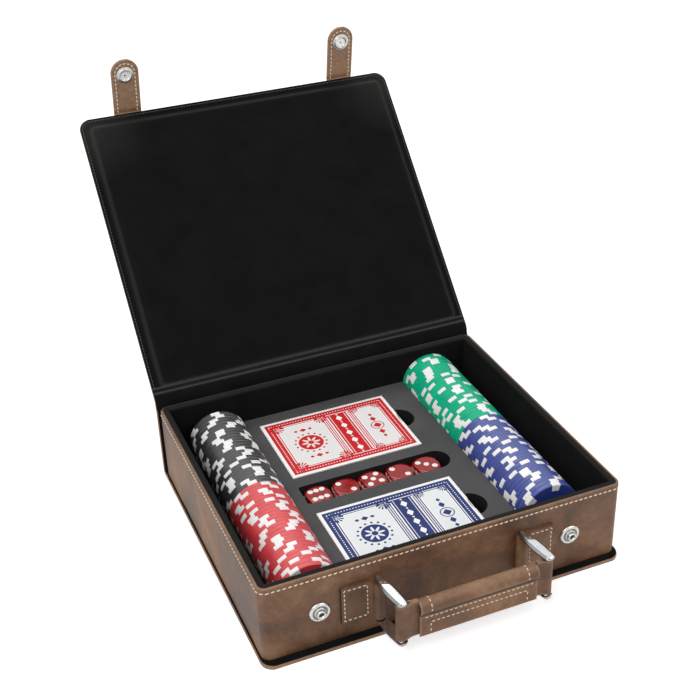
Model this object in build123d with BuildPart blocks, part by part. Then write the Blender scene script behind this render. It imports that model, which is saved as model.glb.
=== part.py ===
import os
from math import cos, radians, sin

from build123d import *

# Poker set case, book style, lid open. Millimetres, +Z up, +X to the right, +Y to the back.
# The origin is under the middle of the tray, on the underside of the base panel.

# Tray
tray_width = 235.0
tray_depth = 204.0
wall_height = 52.5
wrap_leather = 0.9
wall_board = 2.5
rim_lip = 1.3
liner = 2.6
liner_drop = 0.2
floor_board = 2.0
tray_corner = 5.5
rim_round = 0.6

# Cover: base panel, spine and lid are leather, board and lining
cover_leather = 0.9
cover_board = 2.0
lining = 0.5
side_overhang = 1.5
front_overhang = 5.0
cover_corner = 8.0
cover_heel = 2.5
edge_turn = 1.2

# Hinge: the leather inner faces of spine and lid meet at the pivot line
hinge_half = 4.0
lid_gap = 0.3
lid_angle = 134.0
spine_bevel = 3.0

# Lid: its board stops short of the edge, where leather and lining are sewn flat
pinch = 6.0
hinge_pinch = 4.0
board_corner = 5.0
lid_heel_corner = 2.5

# Snap studs on the front wall
stud_inset = 35.3
stud_rise = 25.0
stud_flange = 6.7
stud_post = 3.0
stud_proud = 3.9
stud_bore = 1.25
rivet_head = 4.0
rivet_head_thickness = 0.5
rivet_clearance = 0.1

# Snap straps on the lid's front edge
strap_width = 20.0
strap_leather = 1.05
strap_fold = 54.0
strap_pivot_out = 0.6
strap_bend_length = 4.4
strap_tip_margin = 11.5
tail_length = 8.0
tail_leather = 0.5
tail_clearance = 0.05
socket_radius = 6.2
socket_bore = 3.4
socket_wall = 0.7
socket_proud = 1.4
socket_floor = 0.35
cap_radius = 6.3
cap_rim = 0.5
cap_dome = 1.5

# Handle: leather anchors, chrome links, leather strap with a padded grip
handle_inset = 70.5
pin_stand_off = 4.0
pin_radius = 1.6
pin_clearance = 0.08
pin_neck = 1.1
neck_clearance = 0.05
link_pitch = 23.0
link_lean = 8.5
plate_thickness = 2.2
plate_rear_end = 2.0
plate_front_end = 3.0
plate_rear_half = 2.1
plate_front_half = 3.0
plate_nose = 0.9
plate_middle_half = 3.7
plate_gap = 1.4
plate_round = 0.6
plate_corner = 1.0
strap_height = 25.0
handle_rise = 12.5
handle_loop = 3.3
handle_half = 1.5
anchor_height = 26.2
anchor_length = 22.5
anchor_leather = 2.2
anchor_loop = 3.9
anchor_slope = 6.0
grip_setback = 9.0
grip_shift = 1.6
grip_inset = 1.5
strap_cut = 4.5
roll_drop = 6.1
roll_radius = 5.0
grip_leather = 1.2
flap_hang = 1.0
grip_clearance = 0.1
grip_crease = 0.8

# Insert: black grooves for the chips, grey foam for cards and dice
foam_base_thickness = 8.8
foam_top_thickness = 17.7
groove_floor = 4.2
groove_clearance = 0.3
groove_inner_height = 16.6
groove_outer_height = 9.6
chip_wall_gap = 9.2

# Chips lie on edge, two colours to a column
chip_radius = 20.0
chip_thickness = 3.45
chip_pitch = 3.5
chip_edge = 0.3
column_gap = 0.3
left_column_front_gap = 10.0
right_column_front_gap = 16.5

# Card boxes
box_length = 93.0
box_width = 66.5
box_height = 18.0
box_wall = 0.45
thumb_cut = 15.0
thumb_depth = 1.2
card_end_room = 4.1
card_side_room = 2.6
card_top_room = 0.7
box_left_margin = 9.0
pocket_clearance = 0.5
seat_gap = 0.1
notch_radius = 11.5
notch_side_foam = 11.7
notch_shift = 1.6

# Dice, in a slot across the insert
die_size = 16.0
die_round = 1.8
die_pitch = 19.2
first_die_inset = 10.6
dice_turns = (3.0, -5.0, 6.0, -4.0, 8.0)
slot_left_margin = 8.2
slot_right_margin = 11.2
slot_width = 19.6
slot_corner = 2.0

# The foam left between box, slot, box and liners, front to back, shared out; the rest is behind
share_before_blue = 0.183
share_before_slot = 0.277
share_before_red = 0.259

# Levels and faces worked out from the sizes above
cover_width = tray_width + 2 * side_overhang
panel = cover_leather + cover_board + lining
rim = panel + wall_height
front_face = -tray_depth / 2
rear_face = tray_depth / 2
cover_front = front_face - front_overhang
spine_board_face = rear_face + lining
pivot_y = spine_board_face + cover_board
pivot_z = rim + lid_gap + lining + cover_board
spine_back = pivot_y + cover_leather
spine_top = pivot_z - hinge_half
bevel_foot = spine_top - spine_bevel
lid_reach = pivot_y - cover_front
wrap_top = rim - wrap_leather
board_inset = wrap_leather + wall_board
inner_inset = board_inset + liner
floor_top = panel + floor_board
inner_half_width = tray_width / 2 - inner_inset
inner_half_depth = tray_depth / 2 - inner_inset
groove_radius = chip_radius + groove_clearance
column_x = inner_half_width - chip_wall_gap - groove_radius
half_insert = column_x - groove_radius
insert_width = 2 * half_insert
chip_level = floor_top + groove_floor + groove_radius
groove_inner_level = floor_top + groove_inner_height
groove_outer_level = floor_top + groove_outer_height
pocket_floor = floor_top + foam_base_thickness
insert_level = pocket_floor + foam_top_thickness
stud_spread = tray_width / 2 - stud_inset
stud_height = panel + stud_rise
pin_spread = tray_width / 2 - handle_inset
anchor_outer = pin_spread + anchor_length
grip_half = pin_spread - grip_setback
grip_left = grip_shift - grip_half
grip_right = grip_shift + grip_half
handle_level = panel + handle_rise
roll_level = handle_level + strap_height - roll_drop

# Rows of the insert from the front liner to the rear one
spare_depth = 2 * inner_half_depth - 2 * box_width - slot_width
blue_box_y = -inner_half_depth + share_before_blue * spare_depth + box_width / 2
dice_y = blue_box_y + box_width / 2 + share_before_slot * spare_depth + slot_width / 2
red_box_y = dice_y + slot_width / 2 + share_before_red * spare_depth + box_width / 2
box_x = box_left_margin - half_insert + box_length / 2
slot_left = slot_left_margin - half_insert
slot_right = half_insert - slot_right_margin
first_die_x = slot_left + first_die_inset
dice_count = int((slot_right - slot_left) / die_pitch)
longest_front_gap = max(left_column_front_gap, right_column_front_gap)
column_run = 2 * inner_half_depth - longest_front_gap - column_gap
chips_per_colour = int(column_run / (2 * chip_pitch))
card_length = box_length - 2 * box_wall - card_end_room
card_width = box_width - 2 * box_wall - card_side_room
cards_height = box_height - 2 * box_wall - card_top_room


def hinged(angle, along, inward, y_from=pivot_y, z_from=pivot_z):
    """A point (y, z) on a leaf turned by angle from closed: along it, and inward from it."""
    turn = radians(angle)
    y = y_from - cos(turn) * along - sin(turn) * inward
    z = z_from + sin(turn) * along - cos(turn) * inward
    return (y, z)


def leaf_plane(angle, y_from, z_from, x_at=0.0):
    """The plane of a leaf turned by angle: X across, local Y along it, local Z inward."""
    turn = radians(angle)
    return Plane(origin=(x_at, y_from, z_from), x_dir=(1, 0, 0), z_dir=(0, -sin(turn), -cos(turn)))


def side_plane(x_at=0.0):
    """A plane across the case, with local X to the back and local Y up."""
    return Plane(origin=(x_at, 0, 0), x_dir=(0, 1, 0), z_dir=(1, 0, 0))


def write(piece, label):
    """Names a finished piece and writes it as its own file."""
    piece.part.label = label
    export_step(piece.part, "parts/" + label + ".step")


os.makedirs("parts", exist_ok=True)

lid_plane = leaf_plane(lid_angle, pivot_y, pivot_z)
strap_angle = lid_angle - strap_fold
strap_y, strap_z = hinged(lid_angle, lid_reach + strap_pivot_out, 0)
strap_drop = pivot_z - stud_height
strap_reach = strap_drop + strap_tip_margin

# Base panel outline, with rounded front corners
with BuildSketch() as base_outline:
    with Locations((0, (cover_front + spine_back) / 2)):
        Rectangle(cover_width, spine_back - cover_front)
    fillet(base_outline.vertices().group_by(Axis.Y)[0], cover_corner)

# Board of the base panel
with BuildPart() as base_board:
    with BuildSketch(Plane.XY.offset(cover_leather)) as board_outline:
        with Locations((0, (cover_front + edge_turn + rear_face) / 2)):
            Rectangle(cover_width - 2 * edge_turn, rear_face - cover_front - edge_turn)
        fillet(board_outline.vertices().group_by(Axis.Y)[0], cover_corner - edge_turn)
    extrude(amount=cover_board)
write(base_board, "base_board")

# Board of the spine, bevelled at its top where leather and lining come together
with BuildPart() as spine_board:
    with BuildSketch(side_plane()):
        with BuildLine():
            Polyline(
                (spine_board_face, panel),
                (pivot_y, panel),
                (pivot_y, spine_top),
                (spine_board_face, bevel_foot),
                close=True,
            )
        make_face()
    extrude(amount=cover_width / 2 - edge_turn, both=True)
write(spine_board, "spine_board")

# Brown leather round the base panel and the spine, turned over the boards' edges
with BuildPart() as cover_skin:
    with BuildSketch():
        add(base_outline.sketch)
    extrude(amount=cover_leather + cover_board)
    with BuildSketch(side_plane()):
        with BuildLine():
            Polyline(
                (spine_board_face, cover_leather),
                (spine_back, cover_leather),
                (spine_back, spine_top),
                (pivot_y, spine_top),
                (spine_board_face, bevel_foot),
                close=True,
            )
        make_face()
    extrude(amount=cover_width / 2, both=True)
    fillet(cover_skin.edges().filter_by(Axis.X).group_by(Axis.Z)[0].sort_by(Axis.Y)[-1], cover_heel)
    add(base_board.part, mode=Mode.SUBTRACT)
    add(spine_board.part, mode=Mode.SUBTRACT)
write(cover_skin, "cover_skin")

# Black lining on the base panel and inside the spine
with BuildPart() as cover_lining:
    with BuildSketch(Plane.XY.offset(cover_leather + cover_board)):
        add(base_outline.sketch)
        with Locations((0, spine_board_face + cover_width / 2)):
            Rectangle(cover_width, cover_width, mode=Mode.SUBTRACT)
    extrude(amount=lining)
    with BuildSketch(side_plane()):
        with BuildLine():
            Polyline(
                (rear_face, panel),
                (spine_board_face, panel),
                (spine_board_face, bevel_foot),
                (pivot_y, spine_top),
                (pivot_y - lining, spine_top),
                (rear_face, bevel_foot),
                close=True,
            )
        make_face()
    extrude(amount=cover_width / 2, both=True)
write(cover_lining, "cover_lining")

# Hinge strip between spine and lid: brown leather outside, black lining inside
hinge_layers = (
    ("hinge_skin", -cover_leather, 0.0),
    ("hinge_lining", 0.0, lining),
)
for layer, outer, inner in hinge_layers:
    heel_outer = (pivot_y - outer, spine_top)
    heel_inner = (pivot_y - inner, spine_top)
    toe_outer = hinged(lid_angle, hinge_half, outer)
    toe_inner = hinged(lid_angle, hinge_half, inner)
    leaf_way = (-cos(radians(lid_angle)), sin(radians(lid_angle)))
    with BuildPart() as hinge_layer:
        with BuildSketch(side_plane()):
            with BuildLine():
                Spline(heel_outer, toe_outer, tangents=((0, 1), leaf_way))
                Line(toe_outer, toe_inner)
                Spline(heel_inner, toe_inner, tangents=((0, 1), leaf_way))
                Line(heel_inner, heel_outer)
            make_face()
        extrude(amount=cover_width / 2, both=True)
    write(hinge_layer, layer)

# Outlines on the lid's own plane, measured from the pivot line
with BuildSketch() as lid_outline:
    with Locations((0, (hinge_half + lid_reach) / 2)):
        Rectangle(cover_width, lid_reach - hinge_half)
    fillet(lid_outline.vertices().group_by(Axis.Y)[-1], cover_corner)
    fillet(lid_outline.vertices().group_by(Axis.Y)[0], lid_heel_corner)

board_low = hinge_half + hinge_pinch
board_high = lid_reach - pinch
board_half = cover_width / 2 - pinch
board_middle = (board_low + board_high) / 2


def lid_frustum(grow, height):
    """The lid board's bevelled block, or one grown evenly all round, up to a height."""
    levels = ((0.0, grow), (height, grow - height))
    with BuildPart(mode=Mode.PRIVATE) as block:
        for level, change in levels:
            with BuildSketch(lid_plane.offset(level)):
                with Locations((0, board_middle)):
                    RectangleRounded(
                        2 * (board_half + change),
                        board_high - board_low + 2 * change,
                        board_corner + change,
                    )
        loft(ruled=True)
    return block.part


# Lid board, bevelled all round
with BuildPart() as lid_board:
    add(lid_frustum(0.0, cover_board))
write(lid_board, "lid_board")

# Lid leather, thinned where the straps' tails are sewn in
with BuildPart() as lid_skin:
    with BuildSketch(lid_plane.offset(-cover_leather)):
        add(lid_outline.sketch)
    extrude(amount=cover_leather)
    with BuildSketch(lid_plane):
        with Locations((-stud_spread, lid_reach), (stud_spread, lid_reach)):
            Rectangle(strap_width + 2 * tail_clearance, 2 * (tail_length + tail_clearance))
    extrude(amount=-tail_leather - tail_clearance, mode=Mode.SUBTRACT)
write(lid_skin, "lid_skin")

# Lid lining, carried up over the board's bevel
lining_grow = lining * 2**0.5
with BuildPart() as lid_lining:
    with BuildSketch(lid_plane):
        add(lid_outline.sketch)
    extrude(amount=lining)
    add(lid_frustum(lining_grow, cover_board + lining))
    add(lid_board.part, mode=Mode.SUBTRACT)
write(lid_lining, "lid_lining")

# Skived tails of the two straps, sewn between lid leather and lining
with BuildPart() as strap_tails:
    with BuildSketch(lid_plane):
        tail_middle = lid_reach - tail_length / 2
        with Locations((-stud_spread, tail_middle), (stud_spread, tail_middle)):
            Rectangle(strap_width, tail_length)
    extrude(amount=-tail_leather)
write(strap_tails, "strap_tails")

# Snap straps: two layers of leather, a socket inside and a cap outside
dome_rise = cap_dome - cap_rim
dome_sphere = (cap_radius**2 + dome_rise**2) / (2 * dome_rise)
dome_middle = dome_rise - dome_sphere + (dome_sphere**2 - cap_radius**2 / 4) ** 0.5
for side, sign in (("left", -1), ("right", 1)):
    strap_x = sign * stud_spread
    strap_plane = leaf_plane(strap_angle, strap_y, strap_z, strap_x)
    snap_y, snap_z = hinged(strap_angle, strap_drop, 0, strap_y, strap_z)
    snap_plane = Plane(
        origin=(strap_x, snap_y, snap_z), x_dir=(1, 0, 0), z_dir=-strap_plane.y_dir
    )
    snap_axis = Axis((strap_x, snap_y, snap_z), strap_plane.z_dir)
    round_middle = strap_reach - strap_width / 2

    # The bend between the lid's edge and the strap
    lid_way = (-cos(radians(lid_angle)), sin(radians(lid_angle)))
    strap_way = (-cos(radians(strap_angle)), sin(radians(strap_angle)))
    lid_out = hinged(lid_angle, lid_reach, -strap_leather)
    lid_in = hinged(lid_angle, lid_reach, strap_leather)
    bend_out = hinged(strap_angle, strap_bend_length, -strap_leather, strap_y, strap_z)
    bend_in = hinged(strap_angle, strap_bend_length, strap_leather, strap_y, strap_z)
    with BuildPart() as strap_bend:
        with BuildSketch(side_plane(strap_x)):
            with BuildLine():
                Spline(lid_out, bend_out, tangents=(lid_way, strap_way))
                Line(bend_out, bend_in)
                Spline(lid_in, bend_in, tangents=(lid_way, strap_way))
                Line(lid_in, lid_out)
            make_face()
        extrude(amount=strap_width / 2, both=True)
    write(strap_bend, "strap_bend_" + side)

    # Outer and inner leather, holed for the cap's post and the socket
    layers = (
        ("strap_outer_", -strap_leather, stud_bore + rivet_clearance),
        ("strap_inner_", strap_leather, socket_bore + socket_wall + rivet_clearance),
    )
    for name, thickness, hole in layers:
        with BuildPart() as strap_layer:
            with BuildSketch(strap_plane):
                with Locations((0, (strap_bend_length + round_middle) / 2)):
                    Rectangle(strap_width, round_middle - strap_bend_length)
                with Locations((0, round_middle)):
                    Circle(strap_width / 2)
                with Locations((0, strap_drop)):
                    Circle(hole, mode=Mode.SUBTRACT)
            extrude(amount=thickness)
        write(strap_layer, name + side)

    # Socket: a ring that springs over the stud, with a floor held by the cap's post
    socket_face = strap_leather + socket_proud
    with BuildPart() as snap_socket:
        with BuildSketch(snap_plane):
            with BuildLine():
                Polyline(
                    (stud_bore + rivet_clearance, 0),
                    (socket_bore + socket_wall, 0),
                    (socket_bore + socket_wall, strap_leather),
                    (socket_radius, strap_leather),
                    (socket_radius, strap_leather + socket_proud / 3),
                    (socket_bore + 2 * socket_wall, socket_face),
                    (socket_bore, socket_face),
                    (socket_bore, socket_floor),
                    (stud_bore + rivet_clearance, socket_floor),
                    close=True,
                )
            make_face()
        revolve(axis=snap_axis)
    write(snap_socket, "snap_socket_" + side)

    # Cap: a low dome outside, its post through the leather and the socket's floor
    with BuildPart() as snap_cap:
        with BuildSketch(snap_plane):
            with BuildLine():
                Line((0, -strap_leather - cap_dome), (0, 2 * socket_floor))
                Polyline(
                    (0, 2 * socket_floor),
                    (stud_bore, 2 * socket_floor),
                    (stud_bore, -strap_leather),
                    (cap_radius, -strap_leather),
                    (cap_radius, -strap_leather - cap_rim),
                )
                ThreePointArc(
                    (cap_radius, -strap_leather - cap_rim),
                    (cap_radius / 2, -strap_leather - cap_rim - dome_middle),
                    (0, -strap_leather - cap_dome),
                )
            make_face()
        revolve(axis=snap_axis)
    write(snap_cap, "snap_cap_" + side)


def ring_quarter(side, outer_inset, thickness, corner):
    """One side of a four-sided ring with mitred corners, as a sketch in plan."""
    half_x = tray_width / 2
    half_y = tray_depth / 2
    far = outer_inset + thickness
    with BuildSketch(mode=Mode.PRIVATE) as quarter:
        RectangleRounded(tray_width - 2 * outer_inset, tray_depth - 2 * outer_inset, corner)
        Rectangle(tray_width - 2 * far, tray_depth - 2 * far, mode=Mode.SUBTRACT)
        near = [(-half_x, -half_y), (half_x, -half_y)]
        deep = [(half_x - far, far - half_y), (far - half_x, far - half_y)]
        if side in ("left", "right"):
            near = [(-half_x, half_y), (-half_x, -half_y)]
            deep = [(far - half_x, far - half_y), (far - half_x, half_y - far)]
        flip = -1 if side in ("rear", "right") else 1
        with BuildLine():
            Polyline(*[(flip * x, flip * y) for x, y in near + deep], close=True)
        make_face(mode=Mode.INTERSECT)
    return quarter.sketch


sides = ("front", "rear", "left", "right")
stud_places = ((-stud_spread, stud_height), (stud_spread, stud_height))
stud_hole = stud_bore
front_plane = Plane(origin=(0, front_face, 0), x_dir=(1, 0, 0), z_dir=(0, -1, 0))

# Wall boards, four of them, mitred at the corners
for side in sides:
    with BuildPart() as wall_board_part:
        with BuildSketch(Plane.XY.offset(panel)):
            add(ring_quarter(side, wrap_leather, wall_board, tray_corner - wrap_leather))
        extrude(amount=wrap_top - panel)
        if side == "front":
            with BuildSketch(front_plane):
                with Locations(*stud_places):
                    Circle(stud_hole)
            extrude(amount=-board_inset - wall_board, mode=Mode.SUBTRACT)
            with BuildSketch(front_plane.offset(-board_inset)):
                with Locations(*stud_places):
                    Circle(rivet_head + rivet_clearance)
            extrude(amount=rivet_head_thickness + rivet_clearance, mode=Mode.SUBTRACT)
    write(wall_board_part, "wall_board_" + side)

# Leather round the walls, turned in over their tops as far as the liners
with BuildPart() as tray_wrap:
    for low, inner in ((panel, wrap_leather), (wrap_top, rim_lip)):
        with BuildSketch(Plane.XY.offset(low)):
            RectangleRounded(tray_width, tray_depth, tray_corner)
            RectangleRounded(
                tray_width - 2 * inner,
                tray_depth - 2 * inner,
                tray_corner - inner,
                mode=Mode.SUBTRACT,
            )
        extrude(amount=rim - low)
    with BuildSketch(front_plane):
        with Locations(*stud_places):
            Circle(stud_hole)
    extrude(amount=-wrap_leather, mode=Mode.SUBTRACT)
    fillet(tray_wrap.faces().sort_by(Axis.Z)[-1].outer_wire().edges(), rim_round)
write(tray_wrap, "tray_wrap")

# Floor board inside the walls
with BuildPart() as tray_floor:
    with BuildSketch(Plane.XY.offset(panel)):
        Rectangle(tray_width - 2 * board_inset, tray_depth - 2 * board_inset)
    extrude(amount=floor_board)
write(tray_floor, "tray_floor")

# Black liners inside the walls, folded over the walls' tops
lip_width = inner_inset - rim_lip
for side in sides:
    with BuildPart() as liner_part:
        with BuildSketch(Plane.XY.offset(floor_top)):
            add(ring_quarter(side, board_inset, liner, rim_round))
        extrude(amount=rim - liner_drop - floor_top)
        with BuildSketch(Plane.XY.offset(wrap_top)):
            add(ring_quarter(side, rim_lip, lip_width, tray_corner - rim_lip))
        extrude(amount=rim - liner_drop - wrap_top)
    write(liner_part, "liner_" + side)

# Snap studs: a stepped flange and a hollow post
with BuildPart() as snap_studs:
    for stud_x, stud_z in stud_places:
        with BuildSketch(Plane(origin=(stud_x, front_face, stud_z), x_dir=(1, 0, 0))):
            with BuildLine():
                Polyline(
                    (stud_bore, 0),
                    (stud_flange, 0),
                    (stud_flange, -0.15 * stud_proud),
                    (0.85 * stud_flange, -0.35 * stud_proud),
                    (0.65 * stud_flange, -0.4 * stud_proud),
                    (0.6 * stud_flange, -0.5 * stud_proud),
                    (stud_post, -0.55 * stud_proud),
                    (stud_post, -0.9 * stud_proud),
                    (0.9 * stud_post, -stud_proud),
                    (stud_bore, -stud_proud),
                    close=True,
                )
            make_face()
        revolve(axis=Axis((stud_x, front_face, stud_z), (0, -1, 0)))
write(snap_studs, "snap_studs")

# Rivets that hold the studs, their heads let into the back of the wall board
rivet_shank = stud_bore - rivet_clearance
with BuildPart() as stud_rivets:
    with BuildSketch(front_plane.offset(-board_inset)):
        with Locations(*stud_places):
            Circle(rivet_head)
    extrude(amount=rivet_head_thickness)
    with BuildSketch(front_plane.offset(-board_inset)):
        with Locations(*stud_places):
            Circle(rivet_shank)
    extrude(amount=board_inset + 0.8 * stud_proud)
write(stud_rivets, "stud_rivets")

# Handle anchors: leather sewn to the wall and folded round the rear pin
pin_y = front_face - pin_stand_off
handle_middle = handle_level + strap_height / 2
anchor_low = handle_middle - anchor_height / 2
for side, sign in (("left", -1), ("right", 1)):
    with BuildPart() as anchor:
        with BuildSketch(Plane.XY.offset(anchor_low)):
            foot_middle = sign * (pin_spread + anchor_outer) / 2
            with Locations((foot_middle, front_face - anchor_leather / 2)):
                Rectangle(anchor_outer - pin_spread, anchor_leather)
            with BuildLine():
                Polyline(
                    (sign * pin_spread, pin_y - anchor_loop),
                    (sign * (pin_spread + anchor_slope), front_face - anchor_leather),
                    (sign * (pin_spread + anchor_slope), front_face),
                    (sign * pin_spread, front_face),
                    close=True,
                )
            make_face()
            with Locations((sign * pin_spread, pin_y)):
                Circle(anchor_loop)
                Circle(pin_radius + pin_clearance, mode=Mode.SUBTRACT)
        extrude(amount=anchor_height)
    write(anchor, "anchor_" + side)

# Chrome links: a top plate, a bottom plate and the two pins between them
lean = radians(link_lean)
handle_x = link_pitch * sin(lean)
handle_y = pin_y - link_pitch * cos(lean)
plate_low = handle_level - plate_gap
plate_high = handle_level + strap_height + plate_gap
for side, sign in (("left", -1), ("right", 1)):
    link_plane = Plane(
        origin=(sign * pin_spread, pin_y, 0),
        x_dir=(sin(lean), -cos(lean), 0),
        z_dir=(0, 0, 1),
    )
    pin_places = ((0, 0), (link_pitch, 0))
    plates = (("link_top_", plate_high, 1), ("link_bottom_", plate_low, -1))
    for name, level, way in plates:
        with BuildPart() as link_plate:
            with BuildSketch(link_plane.offset(level)) as plate_outline:
                front_end = link_pitch + plate_front_end
                with BuildLine():
                    ThreePointArc(
                        (-plate_rear_end, plate_rear_half),
                        (link_pitch / 2, plate_middle_half),
                        (front_end, plate_front_half),
                    )
                    ThreePointArc(
                        (front_end, plate_front_half),
                        (front_end + plate_nose, 0),
                        (front_end, -plate_front_half),
                    )
                    ThreePointArc(
                        (front_end, -plate_front_half),
                        (link_pitch / 2, -plate_middle_half),
                        (-plate_rear_end, -plate_rear_half),
                    )
                    ThreePointArc(
                        (-plate_rear_end, -plate_rear_half),
                        (-plate_rear_end - plate_nose, 0),
                        (-plate_rear_end, plate_rear_half),
                    )
                make_face()
                fillet(plate_outline.vertices(), plate_corner)
                with Locations(*pin_places):
                    Circle(pin_neck + neck_clearance, mode=Mode.SUBTRACT)
            extrude(amount=way * plate_thickness)
            ends = link_plate.faces().sort_by(Axis.Z)
            outer_face = ends[-1] if way > 0 else ends[0]
            fillet(outer_face.outer_wire().edges(), plate_round)
        write(link_plate, name + side)

    with BuildPart() as link_pins:
        with BuildSketch(link_plane.offset(plate_low)):
            with Locations(*pin_places):
                Circle(pin_radius)
        extrude(amount=plate_high - plate_low)
        with BuildSketch(link_plane.offset(plate_low - plate_thickness)):
            with Locations(*pin_places):
                Circle(pin_neck)
        extrude(amount=plate_high - plate_low + 2 * plate_thickness)
    write(link_pins, "link_pins_" + side)

# Handle strap, looped round both front pins, with its upper edge cut down inside the grip
handle_plane = Plane(origin=(handle_x, handle_y, 0))
strap_top = handle_level + strap_height - strap_cut
with BuildPart() as handle_strap:
    with BuildSketch(handle_plane.offset(handle_level)):
        with BuildLine():
            Polyline(
                (-pin_spread, handle_loop),
                (grip_left, handle_half),
                (grip_right, handle_half),
                (pin_spread, handle_loop),
                (pin_spread, -handle_loop),
                (grip_right, -handle_half),
                (grip_left, -handle_half),
                (-pin_spread, -handle_loop),
                close=True,
            )
        make_face()
        with Locations((-pin_spread, 0), (pin_spread, 0)):
            Circle(handle_loop)
            Circle(pin_radius + pin_clearance, mode=Mode.SUBTRACT)
    extrude(amount=strap_height)
    with BuildSketch(handle_plane.offset(strap_top)):
        with Locations((grip_shift, 0)):
            Rectangle(2 * (grip_half + grip_clearance), 2 * handle_loop)
    extrude(amount=strap_cut, mode=Mode.SUBTRACT)
write(handle_strap, "handle_strap")

# Padding of the grip, on both sides of the strap's upper edge
core_radius = roll_radius - grip_leather
slot_half = handle_half + grip_clearance
grip_plane = Plane(origin=(handle_x + grip_shift, handle_y, 0), x_dir=(0, 1, 0), z_dir=(1, 0, 0))
with BuildPart() as grip_core:
    with BuildSketch(grip_plane):
        with Locations((0, roll_level)):
            Circle(core_radius - grip_clearance)
        with Locations((0, strap_top + grip_clearance - roll_radius)):
            Rectangle(2 * slot_half, 2 * roll_radius, mode=Mode.SUBTRACT)
    extrude(amount=grip_half - grip_inset, both=True)
write(grip_core, "grip_core")

# Leather of the grip: rolled over the padding and hanging as a flap on both sides
flap_bottom = handle_level - flap_hang
with BuildPart() as grip_wrap:
    with BuildSketch(grip_plane) as grip_section:
        with Locations((0, roll_level)):
            Circle(roll_radius)
        with Locations((0, (flap_bottom + roll_level) / 2)):
            Rectangle(2 * (slot_half + grip_leather), roll_level - flap_bottom)
        creases = grip_section.vertices().group_by(Axis.Y)[1]
        fillet(creases, grip_crease)
        with Locations((0, roll_level)):
            Circle(core_radius, mode=Mode.SUBTRACT)
        with Locations((0, (flap_bottom + roll_level) / 2)):
            Rectangle(2 * slot_half, roll_level - flap_bottom, mode=Mode.SUBTRACT)
    extrude(amount=grip_half, both=True)
write(grip_wrap, "grip_wrap")

# Foam under the cards and dice
with BuildPart() as foam_base:
    with BuildSketch(Plane.XY.offset(floor_top)):
        Rectangle(insert_width, 2 * inner_half_depth)
    extrude(amount=pocket_floor - floor_top)
write(foam_base, "foam_base")

# Die-cut foam: a pocket and a finger notch for each card box, a slot for the dice
slot_end = slot_width / 2
notch_x = half_insert - notch_side_foam - notch_radius
with BuildPart() as foam_top:
    with BuildSketch(Plane.XY.offset(pocket_floor)):
        Rectangle(insert_width, 2 * inner_half_depth)
        for box_y in (red_box_y, blue_box_y):
            with Locations((box_x, box_y)):
                Rectangle(
                    box_length + 2 * pocket_clearance,
                    box_width + 2 * pocket_clearance,
                    mode=Mode.SUBTRACT,
                )
            with Locations((notch_x, box_y + notch_shift)):
                Circle(notch_radius, mode=Mode.SUBTRACT)
        with Locations(((slot_left + slot_right - slot_end) / 2, dice_y)):
            RectangleRounded(
                slot_right - slot_end - slot_left,
                slot_width,
                slot_corner,
                mode=Mode.SUBTRACT,
            )
        with Locations((slot_right - slot_end, dice_y)):
            Circle(slot_end, mode=Mode.SUBTRACT)
        with Locations((slot_right - 1.5 * slot_end, dice_y)):
            Rectangle(slot_end, slot_width, mode=Mode.SUBTRACT)
    extrude(amount=insert_level - pocket_floor)
write(foam_top, "foam_top")

# Black chip grooves, low towards the wall
for side, sign in (("left", -1), ("right", 1)):
    with BuildPart() as chip_cradle:
        with BuildSketch(Plane.XZ.offset(-inner_half_depth)):
            with BuildLine():
                Polyline(
                    (sign * half_insert, floor_top),
                    (sign * inner_half_width, floor_top),
                    (sign * inner_half_width, groove_outer_level),
                    (sign * column_x, groove_outer_level),
                    (sign * column_x, groove_inner_level),
                    (sign * half_insert, groove_inner_level),
                    close=True,
                )
            make_face()
            with Locations((sign * column_x, chip_level)):
                Circle(groove_radius, mode=Mode.SUBTRACT)
        extrude(amount=2 * inner_half_depth)
    write(chip_cradle, "chip_cradle_" + side)

# Chips, each colour half a column, lying on edge in the grooves
colour_run = chips_per_colour * chip_pitch
left_front = -inner_half_depth + left_column_front_gap
right_front = -inner_half_depth + right_column_front_gap
chip_runs = (
    ("chips_red", -column_x, left_front),
    ("chips_black", -column_x, left_front + colour_run + column_gap),
    ("chips_blue", column_x, right_front),
    ("chips_green", column_x, right_front + colour_run + column_gap),
)
for label, chips_x, first_y in chip_runs:
    faces = [
        Plane(origin=(chips_x, first_y + n * chip_pitch, chip_level), x_dir=(1, 0, 0), z_dir=(0, 1, 0))
        for n in range(chips_per_colour)
    ]
    with BuildPart() as chips:
        with BuildSketch(*faces):
            Circle(chip_radius)
        extrude(amount=chip_thickness)
        chamfer(chips.edges().filter_by(GeomType.CIRCLE), chip_edge)
    write(chips, label)

# Card boxes and the cards in them
box_low = pocket_floor + seat_gap
thumb_x = box_x + box_length / 2 + thumb_cut - thumb_depth
for colour, box_y in (("red", red_box_y), ("blue", blue_box_y)):
    with BuildPart() as card_box:
        with BuildSketch(Plane.XY.offset(box_low)):
            with Locations((box_x, box_y)):
                Rectangle(box_length, box_width)
        extrude(amount=box_height)
        with BuildSketch(Plane.XY.offset(box_low + box_wall)):
            with Locations((box_x, box_y)):
                Rectangle(box_length - 2 * box_wall, box_width - 2 * box_wall)
        extrude(amount=box_height - 2 * box_wall, mode=Mode.SUBTRACT)
        with BuildSketch(Plane.XY.offset(box_low + box_height)):
            with Locations((thumb_x, box_y + notch_shift)):
                Circle(thumb_cut)
        extrude(amount=-box_wall, mode=Mode.SUBTRACT)
    write(card_box, colour + "_box")

    with BuildPart() as cards:
        with BuildSketch(Plane.XY.offset(box_low + box_wall)):
            with Locations((box_x, box_y)):
                Rectangle(card_length, card_width)
        extrude(amount=cards_height)
    write(cards, colour + "_cards")

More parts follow.
